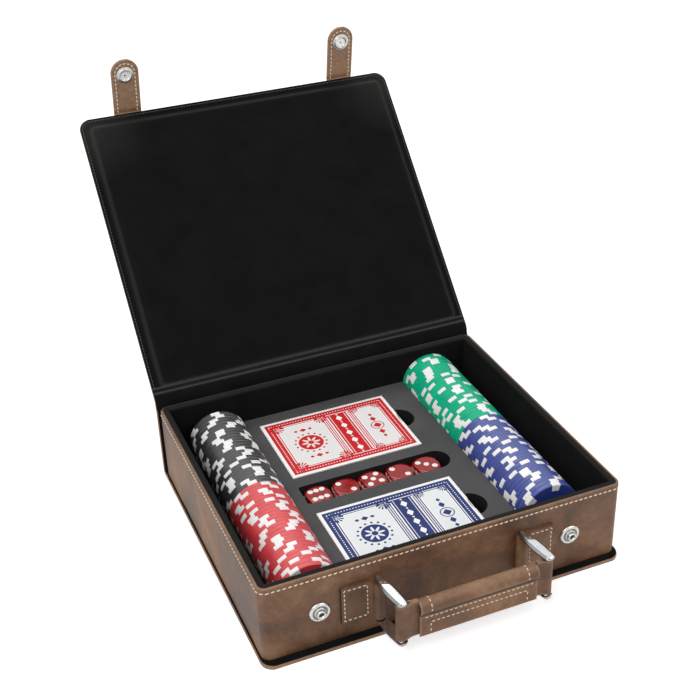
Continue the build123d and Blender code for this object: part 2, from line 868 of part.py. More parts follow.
# Dice, each a little turned in the slot
for n in range(dice_count):
    turn = radians(dice_turns[n % len(dice_turns)])
    die_plane = Plane(
        origin=(first_die_x + n * die_pitch, dice_y, pocket_floor + seat_gap),
        x_dir=(cos(turn), sin(turn), 0),
        z_dir=(0, 0, 1),
    )
    with BuildPart() as die:
        with BuildSketch(die_plane):
            Rectangle(die_size, die_size)
        extrude(amount=die_size)
        fillet(die.edges(), die_round)
    write(die, "die_" + str(n + 1))
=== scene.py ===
import bmesh
import bpy
import numpy as np
from mathutils import Euler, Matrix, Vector


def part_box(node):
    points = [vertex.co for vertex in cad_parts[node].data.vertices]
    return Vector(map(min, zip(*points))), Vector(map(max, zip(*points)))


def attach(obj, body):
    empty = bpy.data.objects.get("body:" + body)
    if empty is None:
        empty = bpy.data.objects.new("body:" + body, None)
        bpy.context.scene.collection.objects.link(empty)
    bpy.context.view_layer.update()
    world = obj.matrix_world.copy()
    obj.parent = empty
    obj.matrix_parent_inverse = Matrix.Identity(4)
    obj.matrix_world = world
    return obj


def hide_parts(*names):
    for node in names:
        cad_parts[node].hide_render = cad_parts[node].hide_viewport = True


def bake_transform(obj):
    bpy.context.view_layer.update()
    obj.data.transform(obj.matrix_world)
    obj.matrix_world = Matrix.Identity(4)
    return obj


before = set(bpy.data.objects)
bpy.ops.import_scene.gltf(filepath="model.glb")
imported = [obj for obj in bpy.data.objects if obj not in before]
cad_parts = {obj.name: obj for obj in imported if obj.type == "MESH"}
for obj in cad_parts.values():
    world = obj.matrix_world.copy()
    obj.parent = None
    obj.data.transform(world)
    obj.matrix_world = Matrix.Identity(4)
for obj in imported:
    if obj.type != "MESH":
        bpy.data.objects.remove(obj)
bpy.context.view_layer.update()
mm = 0.001
scene = bpy.context.scene
scene.view_settings.view_transform = "Standard"

# shared numbers of the case, millimetres and degrees
case = {
    "lidAngle": 134.0, "strapAngle": 80.0, "leather": 0.9, "board": 2.0, "lining": 0.5,
    "hinge": 4.0, "bevel": 3.0, "strapStart": 0.6, "strapBend": 4.4,
}
sides = (("left", -1), ("right", 1))


def boxOf(node):
    # lowest and highest corner of a CAD node, in millimetres
    return [np.array(corner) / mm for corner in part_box(node)]


coverLow, coverHigh = boxOf("cover_skin")
wrapLow, wrapHigh = boxOf("tray_wrap")
studLow, studHigh = boxOf("snap_studs")
halfX, halfY, rim = wrapHigh
pivotY = coverHigh[1] - case["leather"]
pivotZ = coverHigh[2] + case["hinge"]
lidReach = pivotY - coverLow[1]
strapX = studHigh[0] - (studHigh[2] - studLow[2]) / 2
studZ = (studHigh[2] + studLow[2]) / 2


# colour, nodes and materials
def hexColour(code):
    # an sRGB hex value turned to linear light, with alpha
    value = np.array([int(code[i:i + 2], 16) for i in (1, 3, 5)]) / 255
    linear = np.where(value <= 0.04045, value / 12.92, ((value + 0.055) / 1.055) ** 2.4)
    return (*linear.tolist(), 1.0)


def addNode(tree, kind, settings=None, links=None, ramp=None):
    # adds a node: settings by name or socket, links from sockets or a node's first output, and
    # a ramp's stops as (place, colour), or as two colours at 0.3 and 0.7
    node = tree.nodes.new("ShaderNode" + kind)
    for key, value in (settings or {}).items():
        if isinstance(key, str) and hasattr(node, key):
            setattr(node, key, value)
        else:
            node.inputs[key].default_value = value
    for key, source in (links or {}).items():
        tree.links.new(getattr(source, "outputs", [source])[0], node.inputs[key])
    if ramp:
        ramp = list(zip((0.3, 0.7), ramp)) if isinstance(ramp[0], str) else ramp
        stops = node.color_ramp.elements
        while len(stops) < len(ramp):
            stops.new(0.5)
        for stop, (at, code) in zip(stops, ramp):
            stop.position = at
            stop.color = hexColour(code)
    return node


def startMaterial(name):
    # an empty material, its node tree and its Object coordinates
    material = bpy.data.materials.new(name)
    material.use_nodes = True
    tree = material.node_tree
    tree.nodes.clear()
    return material, tree, {"Vector": addNode(tree, "TexCoord").outputs["Object"]}


def addShader(tree, values, links):
    # the shader with its values and links, and the output
    addNode(tree, "OutputMaterial", links={"Surface": addNode(tree, "BsdfPrincipled", values, links)})


def per(size):
    # a texture's scale for a pattern of that size in millimetres
    return 1 / (size * mm)


def fromTo(low, high, ends):
    # a Map Range node's settings
    return {"From Min": low, "From Max": high, "To Min": ends[0], "To Max": ends[1]}


def overlaid(tree, colour, layers):
    # lays tones over a colour, each by its amount
    for tone, amount in layers:
        colour = addNode(tree, "Mix", {"data_type": "RGBA", 7: hexColour(tone)}, {0: amount, 6: colour}).outputs[2]
    return colour


def leatherette(name, look):
    # bonded leather, embossed and rubbed with wax: cloudy tone, fine pebble grain, soft shine
    material, tree, place = startMaterial(name)
    clouds = {"Scale": per(look["cloud"]), "Detail": 5.0, "Roughness": 0.62, "Distortion": 0.4}
    cloud = addNode(tree, "TexNoise", clouds, place)
    fleck = addNode(tree, "TexNoise", {"Scale": per(look["fleck"]), "Detail": 3.0, "Roughness": 0.7}, place)
    mixed = addNode(tree, "Math", {"operation": "MULTIPLY_ADD", 1: 0.17}, {0: fleck, 2: cloud})
    colour = addNode(tree, "ValToRGB", links={"Fac": mixed}, ramp=look["tones"])
    # a tan tone laid by the first attribute: rubbing at edges and rims, and painted light where it lifts the straps
    # all over and the grip's flap lip; a near black tone laid by the second: painted shade in the grip's crease, and
    # darkened leather at the lid's edge and the rear rim
    wear = addNode(tree, "Attribute", {"attribute_name": "wear"}).outputs["Fac"]
    rubbed = addNode(tree, "Math", {"operation": "MULTIPLY"}, {0: wear, 1: fleck})
    rubbed = addNode(tree, "Math", {"operation": "MULTIPLY", 1: 1.7, "use_clamp": True}, {0: rubbed})
    shade = addNode(tree, "Attribute", {"attribute_name": "shade"}).outputs["Fac"]
    colour = overlaid(tree, colour, ((look["rubbed"], rubbed), (look["shaded"], shade)))
    shine = addNode(tree, "MapRange", fromTo(0.35, 0.75, look["rough"]), {"Value": cloud})
    pebble = addNode(tree, "TexVoronoi", {"feature": "DISTANCE_TO_EDGE", "Scale": per(look["grain"])}, place)
    crease = addNode(tree, "MapRange", {"From Max": 0.25}, {"Value": pebble})
    height = addNode(tree, "Math", {"operation": "MULTIPLY_ADD", 1: 0.8}, {0: fleck, 2: crease})
    bump = addNode(tree, "Bump", {"Strength": look["bump"], "Distance": look["depth"] * mm}, {"Height": height})
    addShader(tree, {"Specular IOR Level": 0.4}, {"Base Color": colour, "Roughness": shine, "Normal": bump})
    return material


def nappedCloth(name, look):
    # flocked suede cloth: nearly black pile that catches light at a glance, with a little lint
    material, tree, place = startMaterial(name)
    pile = addNode(tree, "TexNoise", {"Scale": per(look["pile"]), "Detail": 4.0, "Roughness": 0.75}, place)
    brush = addNode(tree, "TexNoise", {"Scale": per(look["brush"]), "Detail": 3.0, "Distortion": 1.0}, place)
    colour = addNode(tree, "ValToRGB", links={"Fac": brush}, ramp=look["tones"])
    # a pale tone laid by the attribute and broken by the pile: rubbing, and painted highlight on the lid's ridge,
    # folds and corners and on the liner's rim
    wear = addNode(tree, "Attribute", {"attribute_name": "wear"}).outputs["Fac"]
    rubbed = addNode(tree, "Math", {"operation": "MULTIPLY", "use_clamp": True}, {0: wear, 1: pile})
    speck = addNode(tree, "TexVoronoi", {"Scale": per(look["lintGap"])}, place)
    edge = look["lint"] / look["lintGap"]
    lint = addNode(tree, "MapRange", {"From Min": 0.5 * edge, "From Max": 0.4 * edge}, {"Value": speck})
    colour = overlaid(tree, colour, ((look["rubbed"], rubbed), (look["lintTone"], lint)))
    bump = addNode(tree, "Bump", {"Strength": 0.5, "Distance": look["depth"] * mm}, {"Height": pile})
    addShader(tree, look["shader"], {"Base Color": colour, "Normal": bump})
    return material


def plainStuff(name, tones, rough, sizes, relief, shader=None):
    # a plain finish: two near tones in small clouds, a fine bump, its own shine; sizes are those
    # of clouds and grain in millimetres, relief is the bump's strength and depth
    material, tree, place = startMaterial(name)
    cloud = addNode(tree, "TexNoise", {"Scale": per(sizes[0]), "Detail": 4.0, "Roughness": 0.6}, place)
    tone = addNode(tree, "ValToRGB", links={"Fac": cloud}, ramp=tones)
    shine = addNode(tree, "MapRange", fromTo(0.3, 0.7, rough), {"Value": cloud})
    grain = addNode(tree, "TexNoise", {"Scale": per(sizes[1]), "Detail": 2.0}, place)
    bump = addNode(tree, "Bump", {"Strength": relief[0], "Distance": relief[1] * mm}, {"Height": grain})
    addShader(tree, shader or {}, {"Base Color": tone, "Roughness": shine, "Normal": bump})
    return material


def printedCard(name, look):
    # coated card, offset printed: the attributes ink and tint are millimetres inside their shapes
    material, tree, place = startMaterial(name)
    fibre = addNode(tree, "TexNoise", {"Scale": per(1.5), "Detail": 4.0}, place)
    colour = addNode(tree, "ValToRGB", links={"Fac": fibre}, ramp=look["card"])
    for layer in ("tint", "ink"):
        inside = addNode(tree, "Attribute", {"attribute_name": layer}).outputs["Fac"]
        edge = addNode(tree, "MapRange", {"From Min": -0.06, "From Max": 0.06}, {"Value": inside})
        tone = addNode(tree, "ValToRGB", links={"Fac": fibre}, ramp=look[layer])
        colour = addNode(tree, "Mix", {"data_type": "RGBA"}, {0: edge, 6: colour, 7: tone}).outputs[2]
    bump = addNode(tree, "Bump", {"Strength": 0.2, "Distance": 0.02 * mm}, {"Height": fibre})
    values = {"Roughness": 0.35, "Specular IOR Level": 0.2, "Coat Weight": 0.08, "Coat Roughness": 0.2}
    addShader(tree, values, {"Base Color": colour, "Normal": bump})
    return material


# brown bonded leather: waxy, cloudy from dark umber to tan where it is rubbed and where painted light lifts it
brownLook = {
    "cloud": 44.0, "fleck": 2.6, "grain": 1.1, "bump": 0.35, "depth": 0.12, "rough": (0.5, 0.62),
    "tones": [(0.42, "#432b1b"), (0.53, "#5c3f2a"), (0.63, "#714f37"), (0.76, "#8b684b")],
    "rubbed": "#a5856a", "shaded": "#1e140e",
}
brownLeather = leatherette("brown_bonded_leather", brownLook)
# darker leather for the anchors' outer end faces: a burnished edge, and the painted shadow where the leather folds
darkEdge = leatherette("burnished_edge_and_painted_shadow", {**brownLook, "tones": ("#22160f", "#34231a"), "rubbed": "#4d3422"})
# its rubbed tone serves both rubbing and the painted highlights on the lid and on the liner's rim
blackCloth = nappedCloth("black_flocked_cloth", {
    "pile": 0.7, "brush": 26.0, "depth": 0.15, "tones": ("#0d0d0d", "#131313"), "rubbed": "#605f5d",
    "lint": 0.45, "lintGap": 19.0, "lintTone": "#333333",
    "shader": {"Roughness": 0.95, "Sheen Weight": 0.015, "Sheen Roughness": 0.5, "Specular IOR Level": 0.08},
})
# polyurethane foam skinned with flock, flat and hardly shiny, bare foam and grey pulp board
matt, soft, dull = {"Specular IOR Level": 0.1}, (0.35, 0.2), (0.85, 0.95)
lowShine = {"Specular IOR Level": 0.25}
greyFoam = plainStuff("grey_die_cut_foam", ("#474747", "#565656"), (0.8, 0.95), (40.0, 0.6), soft, lowShine)
darkFoam = plainStuff("charcoal_base_foam", ("#191919", "#222222"), dull, (20.0, 0.6), (0.3, 0.2), matt)
# the chip cradles and the tray floor are black: black foam, and painted shade in the deep gaps beside the chips
blackFoam = plainStuff("black_cradle_and_painted_shade", ("#0e0e0e", "#151515"), dull, (20.0, 0.6), soft, matt)
paddingFoam = plainStuff("grey_padding_foam", ("#4e4a46", "#625d58"), dull, (3.0, 0.5), (0.5, 0.2))
greyBoard = plainStuff("grey_pulp_board", ("#7d7568", "#8f8778"), (0.8, 0.9), (4.0, 0.4), (0.4, 0.1))
# nickel and chrome plate on pressed brass and cast zinc: mirror smooth, with faint polishing haze
metal, smooth, haze = {"Metallic": 1.0}, (0.03, 0.02), (0.1, 0.02)
nickel = plainStuff("polished_nickel_plate", ("#b9b8b5", "#cbcac7"), (0.24, 0.34), (6.0, 0.5), (0.04, 0.02), metal)
# the socket's recess: rougher nickel in lighter tones, satin with a painted highlight
satinNickel = plainStuff("satin_nickel_painted_highlight", ("#d9d8d5", "#e6e5e2"), (0.45, 0.55), (3.0, 0.4), haze, metal)
# darker nickel for the stud's groove: painted shade
darkNickel = plainStuff("nickel_groove_painted_shade", ("#6e6c68", "#807e7a"), (0.3, 0.4), (3.0, 0.4), haze, metal)
chrome = plainStuff("polished_chrome_plate", ("#d4d5d6", "#e2e3e4"), (0.06, 0.13), (8.0, 0.6), smooth, metal)
# the link plates' bevels and sides: rougher chrome in darker tones, painted shade beside the bright flats
chromeEdge = plainStuff("brushed_chrome_painted_shade", ("#8f9194", "#a2a4a7"), (0.18, 0.26), (8.0, 0.6), smooth, metal)
# a dark disc set in the socket's eye and in the stud's hole: painted shade in the hollows
darkHollow = plainStuff("dark_rivet_hollow", ("#1c1b1a", "#2b2a28"), (0.4, 0.5), (2.0, 0.3), haze, {"Metallic": 0.6})
# waxed polyester thread, spun: cream outside, charcoal on the lining
creamThread = plainStuff("cream_waxed_thread", ("#d6c3aa", "#e8d8c2"), (0.5, 0.65), (1.2, 0.3), (0.5, 0.08))
greyThread = plainStuff("charcoal_waxed_thread", ("#4c4b49", "#5e5d5a"), (0.6, 0.7), (1.2, 0.3), (0.5, 0.08))
# playing card stock, and coated folding box card
paper = plainStuff("playing_card_stock", ("#dcdad4", "#ebe9e4"), (0.6, 0.7), (1.0, 0.25), (0.3, 0.05))
cardStock = plainStuff("coated_box_card", ("#e6e4e0", "#efedea"), (0.35, 0.45), (3.0, 0.4), (0.1, 0.03))
# injection moulded ABS chips, satin, with white inlaid edge spots: two tones and the shine
# the red chip's tones are lighter and pinker than its plastic: a painted glare
chipPlastic = {
    name: plainStuff(name, (low, high), (0.36, 0.46), (9.0, 0.5), (0.12, 0.05), {"Specular IOR Level": shine})
    for name, low, high, shine in (
        ("white_moulded_spot", "#f6f5f2", "#fdfcfb", 1.0), ("red_moulded_chip", "#d0343b", "#de464c", 1.0),
        ("black_moulded_chip", "#2a2a2a", "#363636", 1.0), ("blue_moulded_chip", "#2a3b88", "#33479a", 1.0),
        ("green_moulded_chip", "#00a87f", "#00bd90", 0.35),
    )
}
# cast acrylic dice, clear red all through, tumbled smooth, with painted pips
clear = {"Transmission Weight": 0.6, "IOR": 1.49}
redResin = plainStuff("clear_red_acrylic", ("#d2131d", "#d81822"), (0.08, 0.14), (5.0, 2.0), (0.02, 0.05), clear)
pipPaint = plainStuff("white_pip_paint", ("#efece6", "#f6f4f0"), (0.3, 0.4), (1.0, 0.5), (0.05, 0.02))
# folding box card, offset printed in one ink beside panels of a pale tint
printTones = {
    "red": {"tint": ("#ebe9e7", "#f0eeed"), "ink": ("#ca1b21", "#d52328")},
    "blue": {"tint": ("#e9ecee", "#eef1f1"), "ink": ("#162a68", "#1c3174")},
}
boxPrint = {
    colour: printedCard(colour + "_printed_card", {"card": ("#fbfaf9", "#fefefe"), **tones})
    for colour, tones in printTones.items()
}
print("materials made")


# shared formulas
def unit(value):
    # held between 0 and 1
    return np.clip(value, 0, 1)


def eased(t):
    # a smooth step from 0 to 1: 3 t ^ 2 - 2 t ^ 3
    return t * t * (3 - 2 * t)


def quarter(t):
    # a quarter circle's rise from 0 to 1: sqrt(1 - (1 - t) ^ 2)
    return np.sqrt(unit(1 - (1 - unit(t)) ** 2))


def bell(value, at, width):
    # a ridge of height 1: exp(-((value - at) / width) ^ 2)
    return np.exp(-((value - at) / width) ** 2)


def circle(turn):
    # points on the unit circle at these angles
    return np.stack([np.cos(turn), np.sin(turn)], 1)


def normed(ways):
    # vectors brought to length 1
    return ways / np.linalg.norm(ways, axis=-1)[..., None]


def distances(path):
    # how far along a polyline each of its points lies
    return np.append(0, np.cumsum(np.linalg.norm(np.diff(path, axis=0), axis=1)))


def readAt(places, run, path):
    # a polyline read at places between its points' distances
    return np.stack([np.interp(places, run, path[:, k]) for k in range(path.shape[1])], 1)


# mesh tools
def gridFaces(rows, columns, wrapRows=False, wrapColumns=False):
    # quads between neighbours on a grid whose corner (i, j) is vertex i * columns + j
    i, j = np.meshgrid(np.arange(rows - (not wrapRows)), np.arange(columns - (not wrapColumns)), indexing="ij")
    below, beside = (i + 1) % rows, (j + 1) % columns
    quads = [i * columns + j, i * columns + beside, below * columns + beside, below * columns + j]
    return np.stack(quads, -1).reshape(-1, 4)


def addObject(name, data):
    # an object in the scene
    made = bpy.data.objects.new(name, data)
    scene.collection.objects.link(made)
    return made


def openMesh(mesh, materials, least):
    # gives the mesh its materials and opens it, its doubles merged
    for material in materials:
        mesh.materials.append(material)
    work = bmesh.new()
    work.from_mesh(mesh)
    bmesh.ops.remove_doubles(work, verts=work.verts, dist=least * mm)
    return work


def closeMesh(name, mesh, work, angle=45):
    # writes the mesh back, smooth up to the angle, and makes its object
    work.to_mesh(mesh)
    work.free()
    mesh.polygons.foreach_set("use_smooth", np.ones(len(mesh.polygons), bool))
    mesh.set_sharp_from_angle(angle=np.radians(angle))
    return addObject(name, mesh)


def addPiece(name, materials, surface, body, slotName, nodes=(), slots=None, angle=45, **layers):
    # a surface in millimetres as one mesh with its attributes: doubles merged, faces outwards,
    # smooth up to the angle; then it is placed
    points, faces = np.reshape(surface[0], (-1, 3)), surface[1]
    mesh = bpy.data.meshes.new(name)
    mesh.from_pydata((points * mm).tolist(), [], faces.tolist())
    for layer, values in layers.items():
        attribute = mesh.attributes.new(layer, "FLOAT", "POINT")
        attribute.data.foreach_set("value", np.resize(values, len(points)).astype(np.float32))
    if slots is not None:
        mesh.polygons.foreach_set("material_index", np.asarray(slots, np.int32).ravel())
    work = openMesh(mesh, materials, 0.003)
    bmesh.ops.recalc_face_normals(work, faces=work.faces)
    return place(closeMesh(name, mesh, work, angle), body, slotName, nodes)


def place(piece, body, slotName, nodes=()):
    # the piece moves with its body, or is fixed where it is when given two bodies with a start and an end, and stands
    # for its CAD nodes, which are hidden
    # its finish slot's name is not used
    if isinstance(body, str):
        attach(piece, body)
    else:
        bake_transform(piece)
    if nodes:
        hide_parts(*nodes)
    return piece


def softened(outline, radii, steps=4):
    # each corner of a closed outline becomes a parabola that starts and ends its radius away
    outline = np.asarray(outline, float)
    radii = np.broadcast_to(np.asarray(radii, float), len(outline))[:, None]
    before, after = np.roll(outline, 1, 0) - outline, np.roll(outline, -1, 0) - outline
    start, end = outline + normed(before) * radii, outline + normed(after) * radii
    t = np.linspace(0, 1, steps + 1)[None, :, None]
    curve = (1 - t) ** 2 * start[:, None] + 2 * t * (1 - t) * outline[:, None] + t ** 2 * end[:, None]
    return curve.reshape(-1, 2)


def placesAlong(total, step, edge, corners=(0, 0)):
    # distances along a sheet: even, closer where its border rounds over, and round its corners
    near = edge * np.array([0, 0.03, 0.12, 0.3, 0.6, 1.0])
    bend = 1 - np.cos(np.linspace(0, np.pi / 2, 9))
    even = np.linspace(0, total, int(total / step) + 2)
    found = np.concatenate([near, total - near, corners[0] * bend, total - corners[1] * bend, even, [total]])
    found = np.unique(np.round(found, 3))
    return found[np.append(np.diff(found) > 0.01, True)]


def sampled(lines, along):
    # polylines of equal count read at distances along their average
    run = distances((lines[0] + lines[1]) / 2)
    share = along / along[-1] * run[-1]
    return [readAt(share, run, line) for line in lines]


def runLength(lines):
    # how long the average of two lines is
    return distances((lines[0] + lines[1]) / 2)[-1]


def sheetPlan(lines, half, edge, steps, corners=(0, 0), rows=(), columns=(), apart=0.01):
    # a sheet's rows, more than so far apart, and columns, closer at its border and at the places
    # asked for; its half width at each row, less by a circle's height at round corners; its
    # lines read at the rows
    total = runLength(lines)
    along = np.unique(np.round(np.append(placesAlong(total, steps[0], edge, corners), rows), 3))
    along = along[np.append(np.diff(along) > apart, True)]
    across = placesAlong(2 * half, steps[1], edge) / half - 1
    if len(columns):
        across = np.unique(np.round(np.concatenate([across, columns, -columns]), 5))
    short = [np.clip(corner - gap, 0, corner) for corner, gap in zip(corners, (along, total - along))]
    shrink = [corner - np.sqrt(np.maximum(corner ** 2 - s ** 2, 0)) for corner, s in zip(corners, short)]
    return along, across, half - shrink[0] - shrink[1], sampled(lines, along)


def sheetSurface(plan, edge, raised=0.0, middle=0.0):
    # two lines in the YZ plane carried along X: both faces meet at the border, where half the
    # thickness is scaled by the quarter circle of distance / edge
    (along, across, half), (under, upper) = plan[:3], plan[3][:2]
    x = across[None, :] * half[:, None]
    distance = np.minimum(half[:, None] - np.abs(x), np.minimum(along, along[-1] - along)[:, None])
    q = quarter(distance / edge)[..., None]
    centre, thick = (under + upper)[:, None] / 2, (upper - under)[:, None] / 2
    high = centre + thick * q + normed(thick) * np.broadcast_to(raised, x.shape)[..., None] * q
    points = [np.concatenate([(middle + x)[..., None], yz], -1) for yz in (centre - thick * q, high)]
    faces = gridFaces(*x.shape)
    return np.stack(points).reshape(-1, 3), np.concatenate([faces, faces + x.size]), distance


def ringSurface(profile, half, corner, steps=7):
    # a profile of (inset, height) carried round a rounded rectangle that shrinks by the inset
    profile = np.asarray(profile, float)
    turn = np.radians(np.arange(4)[:, None] * 90 + np.linspace(0, 90, steps)[None, :]).ravel()
    side = np.repeat(np.sign(circle(np.radians(45 + 90 * np.arange(4)))), steps, 0)
    bend = np.maximum(corner - profile[:, :1], 0.6)[..., None]
    plan = side * (np.asarray(half) - profile[:, :1, None] - bend) + bend * circle(turn)
    height = np.broadcast_to(profile[:, 1:, None], plan[..., :1].shape)
    points = np.concatenate([plan, height], -1)
    return points.reshape(-1, 3), gridFaces(len(profile), len(turn), True, True)


def latheSurface(profile, centre, axis, segments=40):
    # a profile of (radius, height) turned about an axis, closed where its radius is nought
    profile, axis = np.asarray(profile, float), np.asarray(axis, float)
    side = normed(np.cross(axis, [1, 0, 0] if abs(axis[0]) < 0.9 else [0, 1, 0]))
    turn = np.linspace(0, 2 * np.pi, segments, endpoint=False)[:, None]
    around = np.cos(turn) * side + np.sin(turn) * np.cross(axis, side)
    points = np.asarray(centre) + profile[:, :1, None] * around + profile[:, 1:, None] * axis
    return points.reshape(-1, 3), gridFaces(len(profile), segments, False, True)


def beltSurface(outer, inner, low, high, edge):
    # a band between two closed plan lines, from low up to a height for each plan point: its
    # section is a rectangle with softened corners, and rows of its own 1.4 mm inside each edge
    height, width, row = np.max(high) - low, np.linalg.norm(outer - inner, axis=1).min(), 1.4
    rise = (0, row, height - row, height)
    corners = [(0, 0)] + [(width, up) for up in rise] + [(0, up) for up in rise[:0:-1]]
    flat = softened(corners, [edge, edge, 0.01, 0.01, edge, edge, 0.01, 0.01])
    share, up = flat[:, 0] / width, flat[:, 1] / height
    plan = outer[None] * (1 - share[:, None, None]) + inner[None] * share[:, None, None]
    level = low + up[:, None] * (high - low)[None, :]
    points = np.concatenate([plan, level[..., None]], -1)
    return points.reshape(-1, 3), gridFaces(len(flat), len(outer), True, True)


def together(parts):
    # several (points, faces) as one
    points, faces = zip(*parts)
    starts = np.cumsum([0] + [len(group) for group in points])
    return np.concatenate(points), np.concatenate([quads + start for quads, start in zip(faces, starts)])


def stitchLine(path, out, look):
    # thread beads spaced evenly along a path of points, on a face that looks towards out: each is
    # a long round bead, thinner to its ends by sqrt(1 - t ^ 4), where it dives in
    path = np.asarray(path, float)
    run = distances(path)
    count = max(2, int(run[-1] / look["pitch"]))
    at = (np.arange(count) + 0.5) * run[-1] / count
    behind, ahead = np.maximum(at - 0.2, 0), np.minimum(at + 0.2, run[-1])
    along = normed(readAt(ahead, run, path) - readAt(behind, run, path))
    out = normed(readAt(at, run, np.broadcast_to(np.asarray(out, float), path.shape)))
    lean = np.radians(look["lean"])
    way = along * np.cos(lean) + np.cross(out, along) * np.sin(lean)
    t = np.sin(np.linspace(-np.pi / 2, np.pi / 2, 6))[:, None]
    turn = np.linspace(0, 2 * np.pi, 8, endpoint=False)
    thick = np.sqrt(unit(1 - t ** 4)) * look["thick"] / 2
    parts = [
        (t * look["long"] / 2 + 0 * turn, way), (thick * np.cos(turn), np.cross(out, way)),
        (thick * np.sin(turn) * 0.8 + (0.12 - 0.5 * t ** 4) * look["thick"], out),
    ]
    bead = sum(size[None, ..., None] * axis[:, None, None] for size, axis in parts)
    bead = bead + readAt(at, run, path)[:, None, None]
    starts = np.arange(count)[:, None, None] * len(t) * len(turn)
    return bead.reshape(-1, 3), (gridFaces(len(t), len(turn), False, True)[None] + starts).reshape(-1, 4)


def bevelledCopy(name, node, materials, width, segments=2, angle=30):
    # a copy of a CAD node, its triangles merged to clean faces and its edges bevelled
    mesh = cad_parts[node].data.copy()
    mesh.materials.clear()
    work = openMesh(mesh, materials, 0.002)
    bmesh.ops.dissolve_limit(work, angle_limit=np.radians(0.5), verts=work.verts, edges=work.edges)
    piece = closeMesh(name, mesh, work)
    mesh.polygons.foreach_set("material_index", np.zeros(len(mesh.polygons), np.int32))
    bevel = piece.modifiers.new("edges", "BEVEL")
    bevel.width, bevel.segments = width * mm, segments
    bevel.limit_method, bevel.angle_limit = "ANGLE", np.radians(angle)
    return piece


def leafPoint(along, inward, angle, start):
    # points (y, z) on a leaf turned by angle from closed, along it and inward from it
    turn = np.radians(angle)
    along, inward = np.broadcast_arrays(np.asarray(along, float), np.asarray(inward, float))
    y = start[0] - np.cos(turn) * along - np.sin(turn) * inward
    z = start[1] + np.sin(turn) * along - np.cos(turn) * inward
    return np.stack([y, z], -1)


def bridge(start, startWay, end, endWay, count):
    # a Hermite curve between two points of the YZ plane, leaving and arriving by two directions
    t = np.linspace(0, 1, count)[:, None]
    pull = np.linalg.norm(np.subtract(end, start))
    leave, arrive = np.asarray(startWay) * pull, np.asarray(endWay) * pull
    ends = (2 * t ** 3 - 3 * t ** 2 + 1) * np.asarray(start) + (3 * t ** 2 - 2 * t ** 3) * np.asarray(end)
    return ends + (t ** 3 - 2 * t ** 2 + t) * leave + (t ** 3 - t ** 2) * arrive


def lidPoint(along, inward):
    # a point on the open lid
    return leafPoint(along, inward, case["lidAngle"], (pivotY, pivotZ))


def spot(x, yz):
    # a place in metres, of x and a point in the YZ plane
    return (x * mm, yz[0] * mm, yz[1] * mm)


# the cover: one leather from the base up the spine and over as the lid, lined in black
lidWay, lidIn = (leafPoint(*way, case["lidAngle"], (0, 0)) for way in ((1, 0), (0, 1)))
cover = {
    "half": coverHigh[0], "corners": (8.0, 8.0), "edge": 0.45, "bendRows": (205, 290), "steps": (3.0, 6.0),
    "leafFade": 4.0, "rubbed": 2.2, "shaded": 0.7,
}
lining = {
    "half": cover["half"] - 0.5, "edge": 0.25, "bendRows": (205, 275), "steps": (3.0, 7.0),
    "boardHalf": cover["half"] - 6.0, "boardLow": 8.0, "boardHigh": lidReach - 6.0, "boardCorner": 5.0,
    # the crown's height and reach, the slope's start outside the board and its width, the ripple's
    # height, sway and two lengths, and the reach and amount of the lighter top corners, rubbing with painted sheen
    "crown": (0.12, 60.0), "slope": (0.7, 3.4), "ripple": (0.05, 1.3, 19.0, 31.0), "cornerRubAndSheen": (45.0, 0.3),
    # place, width and amount of the crease, of the lighter ridge and of the two lighter folds at the hinge, painted
    # highlight with some rubbing
    "crease": (-1.6, 0.7, 0.25), "ridge": (1.4, 1.5, 0.3), "folds": ((6.0, 0.8, 0.9), (9.4, 0.8, 0.72)),
}
coverBlend = ("case", "lid", spot(0, (pivotY, coverHigh[2])), spot(0, lidPoint(case["hinge"], 0)))
lineCounts = {"base": 60, "heel": 9, "spine": 20, "taper": 5, "hinge": 17, "lid": 90}


def coverLine(depth):
    # a line at a depth below the leather's outer face; past the boards it follows the skin
    board, skin = case["leather"] + case["board"], case["leather"]
    foot, wall = coverHigh[2] - case["bevel"], coverHigh[1] - depth
    turnY = pivotY - case["board"]
    base = np.linspace((coverLow[1], depth), (turnY - max(depth - board, 0), depth), lineCounts["base"])
    turn = np.radians(np.linspace(-90, 0, lineCounts["heel"]))
    heel = np.array([turnY, board]) + max(board - depth, 0) * circle(turn)
    if depth > board:
        heel = np.repeat(base[-1:], lineCounts["heel"], 0)
    spine = np.linspace((wall, board), (wall, foot), lineCounts["spine"])
    thin = min(depth, skin + max(depth - board, 0))
    top = (coverHigh[1] - thin, coverHigh[2])
    taper = np.linspace(spine[-1], top, lineCounts["taper"])
    curve = bridge(top, (0, 1), lidPoint(case["hinge"], thin - skin), lidWay, lineCounts["hinge"])
    lid = lidPoint(np.linspace(case["hinge"], lidReach, lineCounts["lid"]), thin - skin)
    return np.concatenate([base, heel, spine, taper, curve, lid])


leafRun = np.linspace(case["hinge"], lidReach, lineCounts["lid"])
leafRun = np.append(np.zeros(sum(lineCounts.values()) - lineCounts["lid"]), leafRun)[:, None]
lines = [coverLine(0.0), coverLine(case["leather"] + case["board"]), leafRun]
rows = np.linspace(*cover["bendRows"], 60)
fade = 1 - np.array([0.8, 1.4, 2.2, 3.2]) / cover["half"]  # columns where wear and shade fade
plan = sheetPlan(lines, cover["half"], cover["edge"], cover["steps"], cover["corners"], rows, fade, 0)
points, faces, distance = sheetSurface(plan, cover["edge"])
leaf = unit((plan[3][2] - case["hinge"]) / cover["leafFade"])
wear = unit(1 - distance / cover["rubbed"]) * 0.5 * (1 - leaf)
shade = np.clip(1.3 - distance / cover["shaded"], 0, 0.85) * leaf
skins = ["cover_skin", "hinge_skin", "lid_skin"]
addPiece("coverLeather", [brownLeather], (points, faces), coverBlend, "brown_leather", skins, wear=wear, shade=shade)

